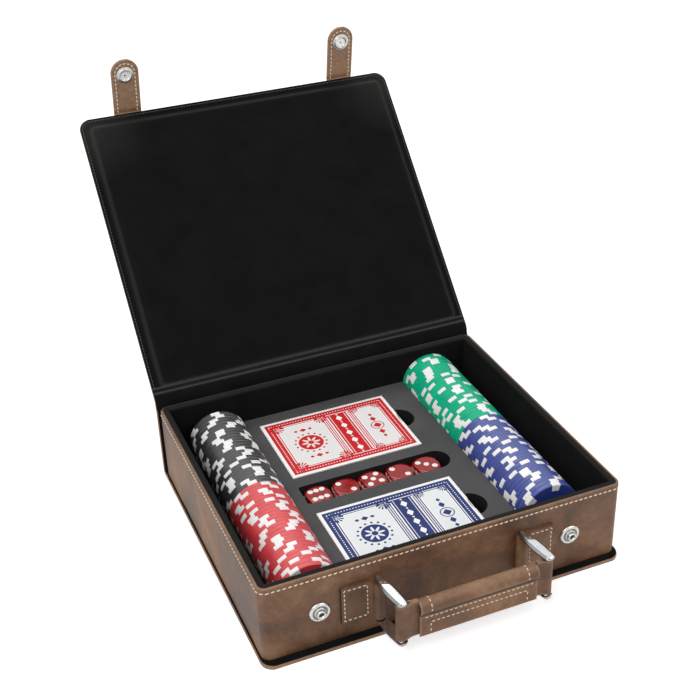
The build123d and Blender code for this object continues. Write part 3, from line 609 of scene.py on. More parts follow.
# the lining rises over the lid's board, with a crease round it and lighter folds at the hinge, painted highlight with
# some rubbing
liningLow = case["leather"] + case["board"]
lines = [coverLine(liningLow), coverLine(liningLow + case["lining"]), leafRun]
total = runLength(lines)
boardRise = total - lidReach + lining["boardLow"]
rows = np.concatenate([
    np.linspace(boardRise - 5, boardRise + 5, 30), np.linspace(total - 10, total - 2, 24),
    np.linspace(*lining["bendRows"], 60),
])
fine = np.linspace(lining["boardHalf"] - 4, lining["boardHalf"] + 2.5, 20) / lining["half"]
plan = sheetPlan(lines, lining["half"], lining["edge"], lining["steps"], cover["corners"], rows, fine)
across, half, lidAlong = plan[1], plan[2], plan[3][2]
x = across[None, :] * half[:, None]
boardMiddle = (lining["boardLow"] + lining["boardHigh"]) / 2
boardSize = np.array([lining["boardHalf"], lining["boardHigh"] - boardMiddle]) - lining["boardCorner"]
away = np.stack([np.abs(x), np.abs(lidAlong - boardMiddle) + 0 * x], -1) - boardSize
inside = lining["boardCorner"] - np.linalg.norm(np.maximum(away, 0), axis=-1) - np.minimum(away.max(-1), 0)
onLid = lidAlong > case["hinge"] + 0.5
(crownHeight, crownReach), (slopeStart, slopeWidth) = lining["crown"], lining["slope"]
rise = eased(unit((inside + slopeStart) / slopeWidth)) * onLid
crown = crownHeight * unit(inside / crownReach)
creaseAt, creaseWidth, creaseDepth = lining["crease"]
crease = creaseDepth * bell(inside, creaseAt, creaseWidth) * onLid
height, sway, wide, long = lining["ripple"]
ripple = height * np.sin(x / wide + sway * np.sin(lidAlong / long)) * rise
points, faces, distance = sheetSurface(plan, lining["edge"], case["board"] * rise + crown - crease + ripple)
# painted highlight with some rubbing: the pale tone is laid on the ridge just inside the board's edge, on two folds
# at the hinge and near the board's top corners
ridgeAt, ridgeWidth, ridgeRubAndHighlight = lining["ridge"]
wear = ridgeRubAndHighlight * bell(inside, ridgeAt, ridgeWidth) * (lidAlong > case["hinge"])
wear = wear + sum(amount * bell(lidAlong, at, width) for at, width, amount in lining["folds"])
toCorner = np.stack([np.abs(x) - lining["boardHalf"], lidAlong - lining["boardHigh"] + 0 * x], -1)
cornerReach, cornerRubAndSheen = lining["cornerRubAndSheen"]
wear = wear + cornerRubAndSheen * unit(1 - np.linalg.norm(toCorner, axis=-1) / cornerReach) * (lidAlong > 100)
linings = ["cover_lining", "hinge_lining", "lid_lining"]
addPiece("coverLining", [blackCloth], (points, faces), coverBlend, "black_lining", linings, angle=60, wear=unit(wear))
print("cover made")

# the tray: leather wrapped walls, black padded liner folded over the rim
tray = {
    "corner": 5.5, "skin": 0.9, "lip": 1.3, "inner": 6.0, "board": 3.4, "turn": 0.85, "row": 3.0, "rowEnd": 4.0,
    "rubbed": 1.3, "shaded": 2.2, "linerRubAndHighlight": 1.2,
}
foot, turned, linerFoot = wrapLow[2], rim - tray["turn"], boxOf("liner_front")[0][2]
wrapProfile = softened(
    [(0, foot), (0, rim - 2.6), (0, rim - 1.3), (0, rim), (tray["lip"] + 0.2, rim), (tray["lip"] + 0.2, turned),
     (tray["skin"], turned), (tray["skin"], foot)],
    [0.1, 0.01, 0.01, 0.75, 0.1, 0.05, 0.05, 0.1],
)
points, faces = ringSurface(wrapProfile, (halfX, halfY), tray["corner"])
fromRear, fromRim = halfY - points[:, 1], rim - points[:, 2]
wear = 0.45 * unit(1 - fromRim / tray["rubbed"]) * unit((fromRear - 3.0) / 2.0)
shade = unit(tray["shaded"] - fromRim) * unit((3.2 - fromRear) / 1.2)
addPiece("trayWrap", [brownLeather], (points, faces), "case", "brown_leather", ["tray_wrap"], wear=wear, shade=shade)

linerProfile = softened(
    [(tray["lip"], rim - 0.75), (tray["lip"], rim + 0.02), (tray["inner"], rim + 0.02), (tray["inner"], linerFoot),
     (tray["board"], linerFoot), (tray["board"], rim - 0.75)],
    [0.05, 0.6, 2.3, 0.1, 0.1, 0.1], steps=6,
)
points, faces = ringSurface(linerProfile, (halfX, halfY), tray["corner"])
# the liner is lighter towards its top: light rubbing, and painted highlight along the rounded lip
wear = 0.22 * unit(1 - (rim - points[:, 2]) / tray["linerRubAndHighlight"])
liners = ["liner_front", "liner_rear", "liner_left", "liner_right"]
addPiece("trayLiner", [blackCloth], (points, faces), "case", "black_lining", liners, angle=60, wear=wear)

thread = {"pitch": 3.4, "long": 2.7, "thick": 0.95, "lean": 7.0}
turn = np.radians(np.linspace(0, 90, 9))
arcs = [circle(turn + start)[::-1] for start in (-np.pi / 2, np.pi)]
hubs = np.array([(halfX, -halfY), (-halfX, -halfY)]) + np.array([(-1, 1), (1, 1)]) * tray["corner"]
rowY = halfY - tray["rowEnd"]
outline = [[(halfX, rowY)], hubs[0] + tray["corner"] * arcs[0], hubs[1] + tray["corner"] * arcs[1], [(-halfX, rowY)]]
outline = np.concatenate(outline)
facing = np.concatenate([[(1, 0)], arcs[0], arcs[1], [(-1, 0)]])
level = np.full((len(outline), 1), rim - tray["row"])
row = stitchLine(np.hstack([outline, level]), np.hstack([facing, 0 * level]), thread)
addPiece("trayStitches", [creamThread], row, "case", "brown_leather")

# stitch rows round the lid: charcoal on the lining, cream on the leather
lidRow = {"inset": 1.9, "corner": 5.5, "low": 9.0}
fineThread = {**thread, "pitch": 2.2, "long": 1.8, "thick": 0.38}
turn = np.radians(np.linspace(0, 90, 7))
side, top = (size - lidRow["inset"] - lidRow["corner"] for size in (cover["half"], lidReach))
arcX, arcA = side + lidRow["corner"] * np.cos(turn), top + lidRow["corner"] * np.sin(turn)
rowX = np.concatenate([[arcX[0]], arcX, -arcX[::-1], [-arcX[0]]])[:, None]
rowA = np.concatenate([[lidRow["low"]], arcA, arcA[::-1], [lidRow["low"]]])
for name, material, inward, out, look, slotName in (
    ("lidStitchesInside", greyThread, case["lining"], lidIn, fineThread, "black_lining"),
    ("lidStitchesOutside", creamThread, -case["leather"], -lidIn, thread, "brown_leather"),
):
    row = stitchLine(np.concatenate([rowX, lidPoint(rowA, inward)], 1), (0, *out), look)
    addPiece(name, [material], row, "lid", slotName)
print("tray made")

# snap straps on the lid's front edge
strap = {
    "half": 10.0, "thick": 1.05, "edge": 0.55, "tip": 10.0, "row": 2.9, "hide": 2.0, "end": 11.5, "root": 0.3,
    "rubbed": 1.2, "recess": 3.7, "groove": 4.1, "grooveHalf": 0.5, "grooveTop": 1.3,
}
strapPivot = lidPoint(lidReach + case["strapStart"], 0)
strapSnap = pivotZ - studZ
strapTip = strapSnap + strap["end"]
strapThread = {**thread, "pitch": 3.1, "long": 2.5, "thick": 0.85}


def strapPoint(along, inward):
    # a point on the standing straps
    return leafPoint(along, inward, case["strapAngle"], strapPivot)


strapWay, strapIn = (leafPoint(*way, case["strapAngle"], (0, 0)) for way in ((1, 0), (0, 1)))


def strapLine(height):
    # the strap's face at a height from its middle: out of the lid, round the bend and up to the tip
    tucked = lidPoint(np.linspace(lidReach - strap["hide"], lidReach, 5), strap["root"] * height)
    curve = bridge(tucked[-1], lidWay, strapPoint(case["strapBend"], height), strapWay, 14)[1:]
    straight = strapPoint(np.linspace(case["strapBend"], strapTip, 30), height)[1:]
    return np.concatenate([tucked, curve, straight])


socketProfile = softened(
    [(0.02, 1.3), (0.9, 1.35), (1.2, 1.2), (3.3, 1.25), (3.6, 2.0), (4.2, 2.3), (4.9, 2.1), (5.1, 1.55),
     (6.2, 1.45), (6.2, 0.9), (0.02, 0.9)][::-1],
    [0, 0.1, 0.2, 0.2, 0.3, 0.3, 0.25, 0.1, 0.1, 0.1, 0],
)
socketEye = [(0, 1.42), (0.45, 1.42), (0.6, 1.36), (0.6, 1.2), (0, 1.2)]
capProfile = [
    (0, -2.55), (1.5, -2.5), (3.0, -2.36), (4.5, -2.1), (5.6, -1.8), (6.15, -1.55), (6.3, -1.3), (6.3, -1.0),
    (1.2, -1.0), (1.2, 0.75), (0.9, 0.9), (0, 0.9),
]
snapAxis = np.array([0, *strapIn])
for side, sign in sides:
    middle, tab = sign * strapX, "tab_" + side
    strapBlend = ("lid", tab, spot(middle, lidPoint(lidReach, 0)), spot(middle, strapPoint(case["strapBend"], 0)))
    lines = (strapLine(-strap["thick"]), strapLine(strap["thick"]))
    plan = sheetPlan(lines, strap["half"], strap["edge"], (1.6, 1.6), (0, strap["tip"]))
    along, (under, upper) = plan[0], plan[3]
    points, faces, distance = sheetSurface(plan, strap["edge"], middle=middle)
    # painted light: past the bend the whole strap takes at least 0.6 of the tan tone, as the straps catch more light;
    # close to its edges it rises further, as rubbing
    wear = np.where(along[:, None] < 5.0, 0.2, np.clip(1.2 - distance / strap["rubbed"], 0.6, 1))
    nodes = [label + side for label in ("strap_bend_", "strap_outer_", "strap_inner_")]
    addPiece("strap_" + side, [brownLeather], (points, faces), strapBlend, "brown_leather", nodes, wear=wear)

    w, r, shoulder = strap["half"] - strap["row"], strap["tip"] - strap["row"], runLength(lines) - strap["tip"]
    turn = np.radians(np.linspace(0, 180, 15))
    rowX = np.concatenate([np.full(12, w), r * np.cos(turn), np.full(12, -w)])[:, None]
    climb = np.linspace(strap["hide"] + 0.8, shoulder, 13)[:-1]
    rowA = np.concatenate([climb, shoulder + r * np.sin(turn), climb[::-1]])
    lift = normed(upper - under)
    rows = []
    for values in ((upper, lift), (under, -lift)):
        line, facing = (readAt(rowA, along, value) for value in values)
        rows.append(stitchLine(np.hstack([middle + rowX, line]), np.hstack([0 * rowX, facing]), strapThread))
    addPiece("strapStitches_" + side, [creamThread], together(rows), strapBlend, "brown_leather")

    centre = (middle, *strapPoint(strapSnap, 0))
    points, faces = latheSurface(socketProfile, centre, snapAxis, 48)
    recess = np.linalg.norm(points[faces].mean(1) - centre, axis=1) < strap["recess"]
    socket = ["snap_socket_" + side]
    addPiece("snapSocket_" + side, [nickel, satinNickel], (points, faces), tab, "nickel", socket, recess, 50)
    addPiece("snapEye_" + side, [darkHollow], latheSurface(socketEye, centre, snapAxis, 24), tab, "nickel")
    surface = latheSurface(capProfile, centre, snapAxis, 48)
    addPiece("snapCap_" + side, [nickel], surface, tab, "nickel", ["snap_cap_" + side], angle=50)

# snap studs on the front wall: domed flange, stepped ring, rolled tube round a dark hole
studProfile = softened(
    [(1.1, 0.0), (6.7, 0.0), (6.7, 0.6), (6.0, 1.35), (4.9, 1.5), (4.5, 1.0), (3.9, 0.9), (3.5, 1.5), (3.0, 1.7),
     (3.0, 3.4), (2.5, 3.9), (2.0, 3.85), (1.6, 3.2), (1.2, 2.2)],
    [0, 0.1, 0.35, 0.4, 0.2, 0.15, 0.15, 0.2, 0.1, 0.4, 0.25, 0.2, 0.2, 0],
)
studProfile = np.concatenate([studProfile, studProfile[:1]])
studFloor = [(0, 0.1), (1.35, 0.1), (1.35, 2.6), (1.1, 2.8), (0, 2.8)]
for side, sign in sides:
    centre = np.array([sign * strapX, -halfY, studZ])
    points, faces = latheSurface(studProfile, centre, (0, -1, 0), 48)
    facing = points[faces].mean(1) - centre
    out = np.linalg.norm(facing[:, ::2], axis=1)
    # the groove round the stud's ring takes the darker nickel: painted shade
    groove = (facing[:, 1] > -strap["grooveTop"]) & (np.abs(out - strap["groove"]) < strap["grooveHalf"])
    addPiece("snapStud_" + side, [nickel, darkNickel], (points, faces), "case", "nickel", ["snap_studs"], groove, 50)
    hole = latheSurface(studFloor, centre, (0, -1, 0), 24)
    addPiece("snapStudHole_" + side, [darkHollow], hole, "case", "nickel", ["stud_rivets"])
print("straps and studs made")

# handle: leather anchors, chrome links, looped strap with a padded grip
anchorLow, anchorHigh = boxOf("anchor_left")
pinsLow, pinsHigh = boxOf("link_pins_left")
strapLow, strapHigh = boxOf("handle_strap")
gripLow, gripHigh = boxOf("grip_wrap")
topLevel, bottomLevel = boxOf("link_top_left")[0][2], boxOf("link_bottom_left")[1][2]
handle = {
    "pinX": (strapHigh[0] - strapLow[0]) / 2 - 3.3, "pinY": -halfY - 4.0, "pinRadius": 1.6, "clearance": 0.08,
    "loop": 3.3, "half": 1.5, "cut": 4.5, "rubbed": 1.2, "anchorFace": 2.2, "anchorRow": (6.3, 20.6, 2.0),
    "anchorEdge": 15.0,
}
link = {
    "pitch": 23.0, "plate": 2.2, "rearHalf": 2.1, "frontHalf": 3.0, "middleHalf": 3.95, "rearEnd": 2.0,
    "frontEnd": 3.0, "nose": 0.9, "noseRound": 1.6, "neck": 1.1,
}
handleX = (strapHigh[0] + strapLow[0]) / 2
handleY = (gripLow[1] + gripHigh[1]) / 2
lean = np.arcsin(handleX / link["pitch"])


def linkPlate(level, way):
    # a boat-shaped plate: its half width is an arc that closes in a blunt nose at each end, and
    # each cross section is a flat underside, an upright edge, a bevel and a flat top, of which
    # quads 3 and 15 are the two flats
    length = link["pitch"] + link["frontEnd"] + link["rearEnd"]
    t = placesAlong(length + 2 * link["nose"], 1.2, link["noseRound"])
    s = unit((t - link["nose"]) / length)
    rearHalf, frontHalf = link["rearHalf"], link["frontHalf"]
    bulge = link["middleHalf"] - (rearHalf + frontHalf) / 2
    wide = rearHalf + (frontHalf - rearHalf) * s + bulge * 4 * s * (1 - s)
    nose = quarter(np.minimum(t, t[-1] - t) / link["noseRound"])
    corners = [(-1, 0), (1, 0), (1, 0.4), (0.6, 1.0), (-0.6, 1.0), (-1, 0.4)]
    section = softened(corners, [0.03, 0.03] + [0.06] * 4, 3)
    up = link["plate"] * section[None, :, 1] * (0.45 + 0.55 * nose)[:, None]
    ahead, aside = np.array([(np.sin(lean), -np.cos(lean)), (np.cos(lean), np.sin(lean))])
    plan = (t - link["nose"] - link["rearEnd"])[:, None, None] * ahead
    plan = plan + ((wide * nose)[:, None] * section[None, :, 0])[..., None] * aside
    points = np.concatenate([plan + [0, handle["pinY"]], (level + way * up)[..., None]], -1)
    # faces other than the two flats take the darker chrome: painted shade on the bevels and sides
    edges = np.tile(np.isin(np.arange(len(section)), (3, 15), invert=True), len(t) - 1)
    return points.reshape(-1, 3), gridFaces(len(t), len(section), False, True), edges


neck, shank = link["neck"], handle["pinRadius"]
pinProfile = [
    (0, pinsLow[2] + 0.9), (neck - 0.05, pinsLow[2] + 0.9), (neck, bottomLevel), (shank - 0.05, bottomLevel),
    (shank, bottomLevel + 0.1), (shank, topLevel - 0.1), (shank - 0.05, topLevel), (neck, topLevel),
    (neck - 0.05, pinsHigh[2] - 0.9), (0, pinsHigh[2] - 0.9),
]
anchorIn, anchorOut, anchorInset = handle["anchorRow"]
anchorThread = {**thread, "pitch": 3.1, "long": 2.3, "thick": 0.75, "lean": 0.0}
for side, sign in sides:
    pinX = sign * handle["pinX"]
    linkBody = "link_" + side
    for label, level, way in (("top_" + side, topLevel, 1), ("bottom_" + side, bottomLevel, -1)):
        points, faces, edges = linkPlate(level, way)
        surface, plates = (points + [pinX, 0, 0], faces), ["link_" + label]
        addPiece("linkPlate_" + label, [chrome, chromeEdge], surface, linkBody, "chrome_links", plates, edges, 28)
    middles = ((pinX, handle["pinY"], 0), (pinX + handleX, handleY, 0))
    pins = together([latheSurface(pinProfile, middle, (0, 0, 1), 24) for middle in middles])
    addPiece("linkPins_" + side, [chrome], pins, linkBody, "chrome_links", ["link_pins_" + side])

    anchor = bevelledCopy("handleAnchor_" + side, "anchor_" + side, [brownLeather, darkEdge], 0.45, 3, 35)
    # the outer end faces take the darker leather: burnished edge and painted shadow
    for face in anchor.data.polygons:
        outer = sign * face.center.x > (handle["pinX"] + handle["anchorEdge"]) * mm
        face.material_index = int(outer and sign * face.normal.x > 0.7)
    place(anchor, "case", "brown_leather", ["anchor_" + side])
    x0, x1 = sign * (handle["pinX"] + anchorIn), sign * (handle["pinX"] + anchorOut)
    z0, z1 = anchorLow[2] + anchorInset, anchorHigh[2] - anchorInset
    corners = [(x0, z0), (x1, z0), (x1, z1), (x0, z1), (x0, z0)]
    path = [(x, -halfY - handle["anchorFace"], z) for x, z in corners]
    row = stitchLine(path, (0, -1, 0), anchorThread)
    addPiece("anchorStitches_" + side, [creamThread], row, "case", "brown_leather")

gripLeft, gripRight = gripLow[0] - handleX, gripHigh[0] - handleX


def loopOutline(radius, half, reach=3.0, step=0.15):
    # upper side from the right pin's far side to the left pin's, then the mirror of it below
    arc = np.radians(np.linspace(0, 90, 9))
    ease = np.linspace(0, 1, 9)
    pinX = handle["pinX"]
    x = np.concatenate([
        pinX + radius * np.cos(arc), pinX + (gripRight + reach - pinX) * ease[1:],
        [gripRight + step, gripRight, gripLeft, gripLeft - step],
        gripLeft - reach + (-pinX - gripLeft + reach) * ease, -pinX - radius * np.sin(arc[1:]),
    ])
    y = np.concatenate([
        radius * np.sin(arc), radius + (half - radius) * eased(ease[1:]), [half] * 4,
        half + (radius - half) * eased(ease), radius * np.cos(arc[1:]),
    ])
    return np.concatenate([np.stack([x, y], 1), np.stack([x, -y], 1)[-2:0:-1]]) + [handleX, handleY]


gripHalf, gripMiddle = (gripHigh[0] - gripLow[0]) / 2, (gripHigh[0] + gripLow[0]) / 2
outerLoop = loopOutline(handle["loop"], handle["half"])
innerLoop = loopOutline(handle["pinRadius"] + handle["clearance"], 0.02)
inGrip = np.abs(outerLoop[:, 0] - gripMiddle) < gripHalf + 0.05
points, faces = beltSurface(outerLoop, innerLoop, strapLow[2], strapHigh[2] - handle["cut"] * inGrip, 0.35)
fromEdge = np.minimum(points[:, 2] - strapLow[2], strapHigh[2] - points[:, 2])
wear = 0.6 * unit(1 - fromEdge / handle["rubbed"])
addPiece("handleStrap", [brownLeather], (points, faces), "handle", "brown_leather", ["handle_strap"], wear=wear)

grip = {
    "roll": (gripHigh[1] - gripLow[1]) / 2, "leather": 1.2, "slot": 1.6, "flap": 2.8, "edge": 0.5,
    "seam": 6.8, "rubbed": 1.5,
    "rowDrop": 2.1, "rowGap": 4.2, "rowEnd": 2.6, "rowFoot": 1.5, "rollTurn": 118,
}
rollZ = gripHigh[2] - grip["roll"]
flapZ = gripLow[2]


def gripLine(radius, half):
    # front flap upwards, round the roll and down the rear flap, for one face of the leather
    angle = np.linspace(-np.pi + np.arcsin(half / radius), np.pi - np.arcsin(half / radius), 61)
    roll = np.stack([radius * np.sin(angle), rollZ + radius * np.cos(angle)], 1)
    front, rear = np.linspace((-half, flapZ), roll[0], 25), np.linspace(roll[-1], (half, flapZ), 25)
    line = np.concatenate([front[:-1], roll, rear[1:]])
    for step in range(2):
        line[1:-1] = line[1:-1] * 0.5 + (line[:-2] + line[2:]) * 0.25
    return line + [handleY, 0]


lines = (gripLine(grip["roll"] - grip["leather"], grip["slot"]), gripLine(grip["roll"], grip["flap"]))
plan = sheetPlan(lines, gripHalf, grip["edge"], (0.4, 1.5))
along, across, half = plan[:3]
x, z = across[None, :] * half[:, None], plan[3][1][:, 1:]
creaseZ = rollZ - np.sqrt(grip["roll"] ** 2 - grip["flap"] ** 2)
# slow waves, a lip below the crease, the crease itself and a valley along each sewn seam
below = unit((creaseZ - 0.4 - z) / 0.5)
puff = 0.042 * np.sin(x / 7.0) * np.sin(along[:, None] / 6.0) + 0.035 * np.sin(x / 2.9 + along[:, None] / 4.0)
puff = puff + 0.4 * eased(below) - 0.7 * bell(z, creaseZ + 0.2, 0.55)
puff = puff - 0.45 * bell(np.abs(x), gripHalf - grip["seam"], 0.8) * (1 - below) - 0.12
surface = sheetSurface(plan, grip["edge"], puff, gripMiddle)
# painted shade: a near black band along the crease under the roll; painted highlight: a lighter band on the flap's
# lip just below it; the edges are lighter as rubbing, and the roll's top is lighter too
wear = 0.7 * unit(1 - surface[2] / grip["rubbed"]) + 0.35 * bell(z, gripHigh[2], 2.0)
layers = {
    "wear": unit(wear + 0.6 * bell(z, creaseZ - 1.0, 0.5)), "shade": unit(1.3 * bell(z, creaseZ + 0.1, 0.9)) + 0 * x,
}
wrapped = ["grip_wrap"]
gripWrap = addPiece("gripWrap", [brownLeather], surface, "handle", "brown_leather", wrapped, angle=60, **layers)

upperRow, rowFoot = creaseZ - grip["rowDrop"], flapZ + grip["rowFoot"]
lowerRow = upperRow - grip["rowGap"]
endX, inX = gripHalf - grip["rowEnd"], gripHalf - grip["seam"]
gripThread = {**thread, "pitch": 3.0, "long": 2.3, "thick": 0.72, "lean": 0.0}
over = np.radians(np.linspace(-grip["rollTurn"], grip["rollTurn"], 25))
normals = np.stack([0 * over, np.sin(over), np.cos(over)], 1)
rows = []
for way in (-1, 1):
    y = handleY + way * (grip["flap"] + 0.25)
    for x0, z0, x1, z1 in (
        (-endX, upperRow, endX, upperRow), (-inX, lowerRow, inX, lowerRow),
        (-inX, lowerRow, -inX, rowFoot), (inX, lowerRow, inX, rowFoot),
    ):
        path = [(gripMiddle + x0, y, z0), (gripMiddle + x1, y, z1)]
        rows.append(stitchLine(path, (0, way, 0), gripThread))
for x in (gripMiddle - inX, gripMiddle + inX):
    rows.append(stitchLine(np.array([x, handleY, rollZ]) + (grip["roll"] - 0.45) * normals, normals, gripThread))
addPiece("gripStitches", [creamThread], together(rows), "handle", "brown_leather")
print("handle made")

# insert: grey foam and black cradles with softened edges
for name, node, materials, width, slotName in (
    ("foamTop", "foam_top", [greyFoam, darkFoam], 0.7, "grey_foam"),
    ("foamBase", "foam_base", [darkFoam], 0.2, "grey_foam"),
    ("chipCradle_left", "chip_cradle_left", [blackFoam], 0.5, "black_foam"),
    ("chipCradle_right", "chip_cradle_right", [blackFoam], 0.5, "black_foam"),
):
    piece = bevelledCopy(name, node, materials, width, 3)
    # the top foam's upright cut faces take the charcoal foam: bare foam under the flocked skin, and painted shade
    # inside the slots and notches
    for face in piece.data.polygons:
        face.material_index = int(len(materials) > 1 and face.normal.z < 0.7)
    place(piece, "case", slotName, [node])

# chips: 25 to a colour, each turned at random so that its spots don't line up
chip = {
    "radius": 20.0, "thick": 3.45, "pitch": 3.5, "segments": 60, "spots": 6, "whites": 3, "seed": 11,
    "spotDepth": 4.6, "slip": 0.14,
}


def chipRun(node, seed):
    # 60 segments to a turn, of which 3 in every 10 are white on the edge and the outer face ring
    low, high = boxOf(node)
    count = int(round((high[1] - low[1] + chip["pitch"] - chip["thick"]) / chip["pitch"]))
    random = np.random.default_rng(seed)
    r, h, segments = chip["radius"], chip["thick"], chip["segments"]
    profile = np.array([(0, 0.25), (r - 6.2, 0.25), (r - 6.0, 0), (r - chip["spotDepth"], 0), (r - 0.5, 0), (r, 0.4)])
    profile = np.concatenate([profile, [(out, h - up) for out, up in profile[::-1]]])
    spin = random.uniform(0, 2 * np.pi, count)
    slip = random.uniform(-chip["slip"], chip["slip"], (count, 2))
    turn = spin[:, None] + np.linspace(0, 2 * np.pi, segments, endpoint=False)[None, :]
    middleX = (low[0] + high[0]) / 2 + slip[:, 0]
    middleZ = (low[2] + high[2]) / 2 + np.abs(slip[:, 1])
    x = middleX[:, None, None] + profile[None, :, None, 0] * np.cos(turn)[:, None, :]
    z = middleZ[:, None, None] + profile[None, :, None, 0] * np.sin(turn)[:, None, :]
    y = (low[1] + chip["pitch"] * np.arange(count))[:, None, None] + profile[None, :, None, 1] + 0 * x
    faces = gridFaces(len(profile), segments, False, True)
    starts = np.arange(count)[:, None, None] * len(profile) * segments
    band, segment = np.divmod(np.arange(len(faces)), segments)
    white = (band >= 3) & (band <= 7) & (segment % (segments // chip["spots"]) < chip["whites"])
    return np.stack([x, y, z], -1), (faces[None] + starts).reshape(-1, 4), np.tile(white, count)


for number, colour in enumerate(("red", "black", "blue", "green")):
    node, plastics = "chips_" + colour, [chipPlastic[colour + "_moulded_chip"], chipPlastic["white_moulded_spot"]]
    points, faces, white = chipRun(node, chip["seed"] + number)
    addPiece("pokerChips_" + colour, plastics, (points, faces), node, colour + "_chip", [node], white, 35)
print("chips made")

# dice: rounded blocks with white pips, by their top pips from left to right and their turns
dice = {"half": 8.0, "sphere": 11.9, "soft": 0.32, "pip": 2.1, "spread": 4.0}
diceTops = [(6, 3.0), (2, -5.0), (5, 6.0), (2, -4.0), (3, 8.0)]
square = [(-1, -1), (-1, 1), (1, -1), (1, 1)]
pipPlaces = {
    1: [(0, 0)], 2: [(-1, 1), (1, -1)], 3: [(-1, 1), (0, 0), (1, -1)], 4: square, 5: square + [(0, 0)],
    6: [(-1, -1), (0, -1), (1, -1), (-1, 1), (0, 1), (1, 1)],
}
dieFaces = np.array([
    [(1, 0, 0), (0, 1, 0)], [(-1, 0, 0), (0, -1, 0)], [(0, 1, 0), (-1, 0, 0)],
    [(0, -1, 0), (1, 0, 0)], [(0, 0, 1), (1, 0, 0)], [(0, 0, -1), (1, 0, 0)],
], float)
dieFaces = [(normal, right, np.cross(normal, right)) for normal, right in dieFaces]


def tumbledCube():
    # each direction goes out to the cube's face or the sphere, whichever is nearer, joined by a
    # smooth least value: -soft * log(exp(-a / soft) + exp(-b / soft))
    c = np.tan(np.linspace(-1, 1, 29) * np.pi / 4)
    u, v = np.meshgrid(c, c, indexing="ij")
    parts = []
    for normal, right, up in dieFaces:
        way = normed(normal + u[..., None] * right + v[..., None] * up)
        toFace = dice["half"] / np.abs(way).max(-1)
        gap = np.abs(toFace - dice["sphere"])
        reach = np.minimum(toFace, dice["sphere"]) - dice["soft"] * np.log1p(np.exp(-gap / dice["soft"]))
        parts.append(((way * reach[..., None]).reshape(-1, 3), gridFaces(len(c), len(c))))
    return together(parts)


blockPoints, blockFaces = tumbledCube()
lens = [(0, 0.07), (0.8, 0.065), (1.5, 0.05), (dice["pip"], 0.0), (dice["pip"], -0.3), (0, -0.3)]
for number, (top, angle) in enumerate(diceTops, 1):
    node = "die_%d" % number
    turn = np.radians(angle)
    spin = np.array([[np.cos(turn), np.sin(turn), 0], [-np.sin(turn), np.cos(turn), 0], [0, 0, 1]])
    rest = [n for n in range(1, 7) if n not in (top, 7 - top)]
    values = [rest[0], 7 - rest[0], rest[1], 7 - rest[1], top, 7 - top]
    pips = [
        latheSurface(lens, normal * (dice["half"] - 0.02) + (a * right + b * up) * dice["spread"], normal, 16)
        for (normal, right, up), value in zip(dieFaces, values) for a, b in pipPlaces[value]
    ]
    middle = sum(boxOf(node)) / 2
    points, faces = together(pips)
    block = blockPoints @ spin + middle, blockFaces
    addPiece("die%d" % number, [redResin], block, node, "red_resin", [node], angle=80)
    addPiece("die%dPips" % number, [pipPaint], (points @ spin + middle, faces), node, "red_resin")

# card boxes: folded card with a printed front, and the cards inside
deck = {
    "margin": 2.4, "frame": 5.0, "rowIn": 2.1, "rowWide": 0.8, "dash": 1.0, "pitch": 2.0, "line": 0.75, "gap": 0.65,
    "lineStep": 1.45, "left": 0.45, "band": (0.505, 0.655), "right": 0.715, "step": 0.42, "rim": 0.3, "lift": 0.06,
    "cut": (13.8, 1.6, 15.25),  # the thumb cut's circle: past the right edge, beside the middle, radius
}


def inRectangle(x, y, x0, x1, y0, y1):
    # millimetres inside a rectangle
    return np.minimum(np.minimum(x - x0, x1 - x), np.minimum(y - y0, y1 - y))


def grown(box, by):
    # a rectangle moved outwards on all sides
    return (box[0] - by, box[1] + by, box[2] - by, box[3] + by)


def lozenge(x, y, cx, cy, wide, high):
    # millimetres inside a lozenge of those half diagonals
    return (1 - np.abs(x - cx) / wide - np.abs(y - cy) / high) * min(wide, high) * 0.7


def rosette(x, y, cx, cy, size):
    # a disc with eight pale petals round a solid eye, inside a ring of sixteen dots
    r, a = np.hypot(x - cx, y - cy), np.arctan2(y - cy, x - cx)
    petals = 0.78 * size * (0.66 + 0.34 * np.cos(8 * a)) - r
    flower = np.maximum(np.minimum(size - r, -petals), 0.24 * size - r)
    sector = np.pi / 8
    dots = 0.1 * size - np.hypot(r - 1.24 * size, (a % sector - sector / 2) * 1.24 * size)
    return np.maximum(flower, dots)


def fan(x, y, cx, cy, size):
    # four rays spread from a corner
    r, a = np.hypot(x - cx, y - cy), np.arctan2(np.abs(y - cy), np.abs(x - cx))
    return np.minimum(size - r, 0.2 * r * np.cos(12 * a))


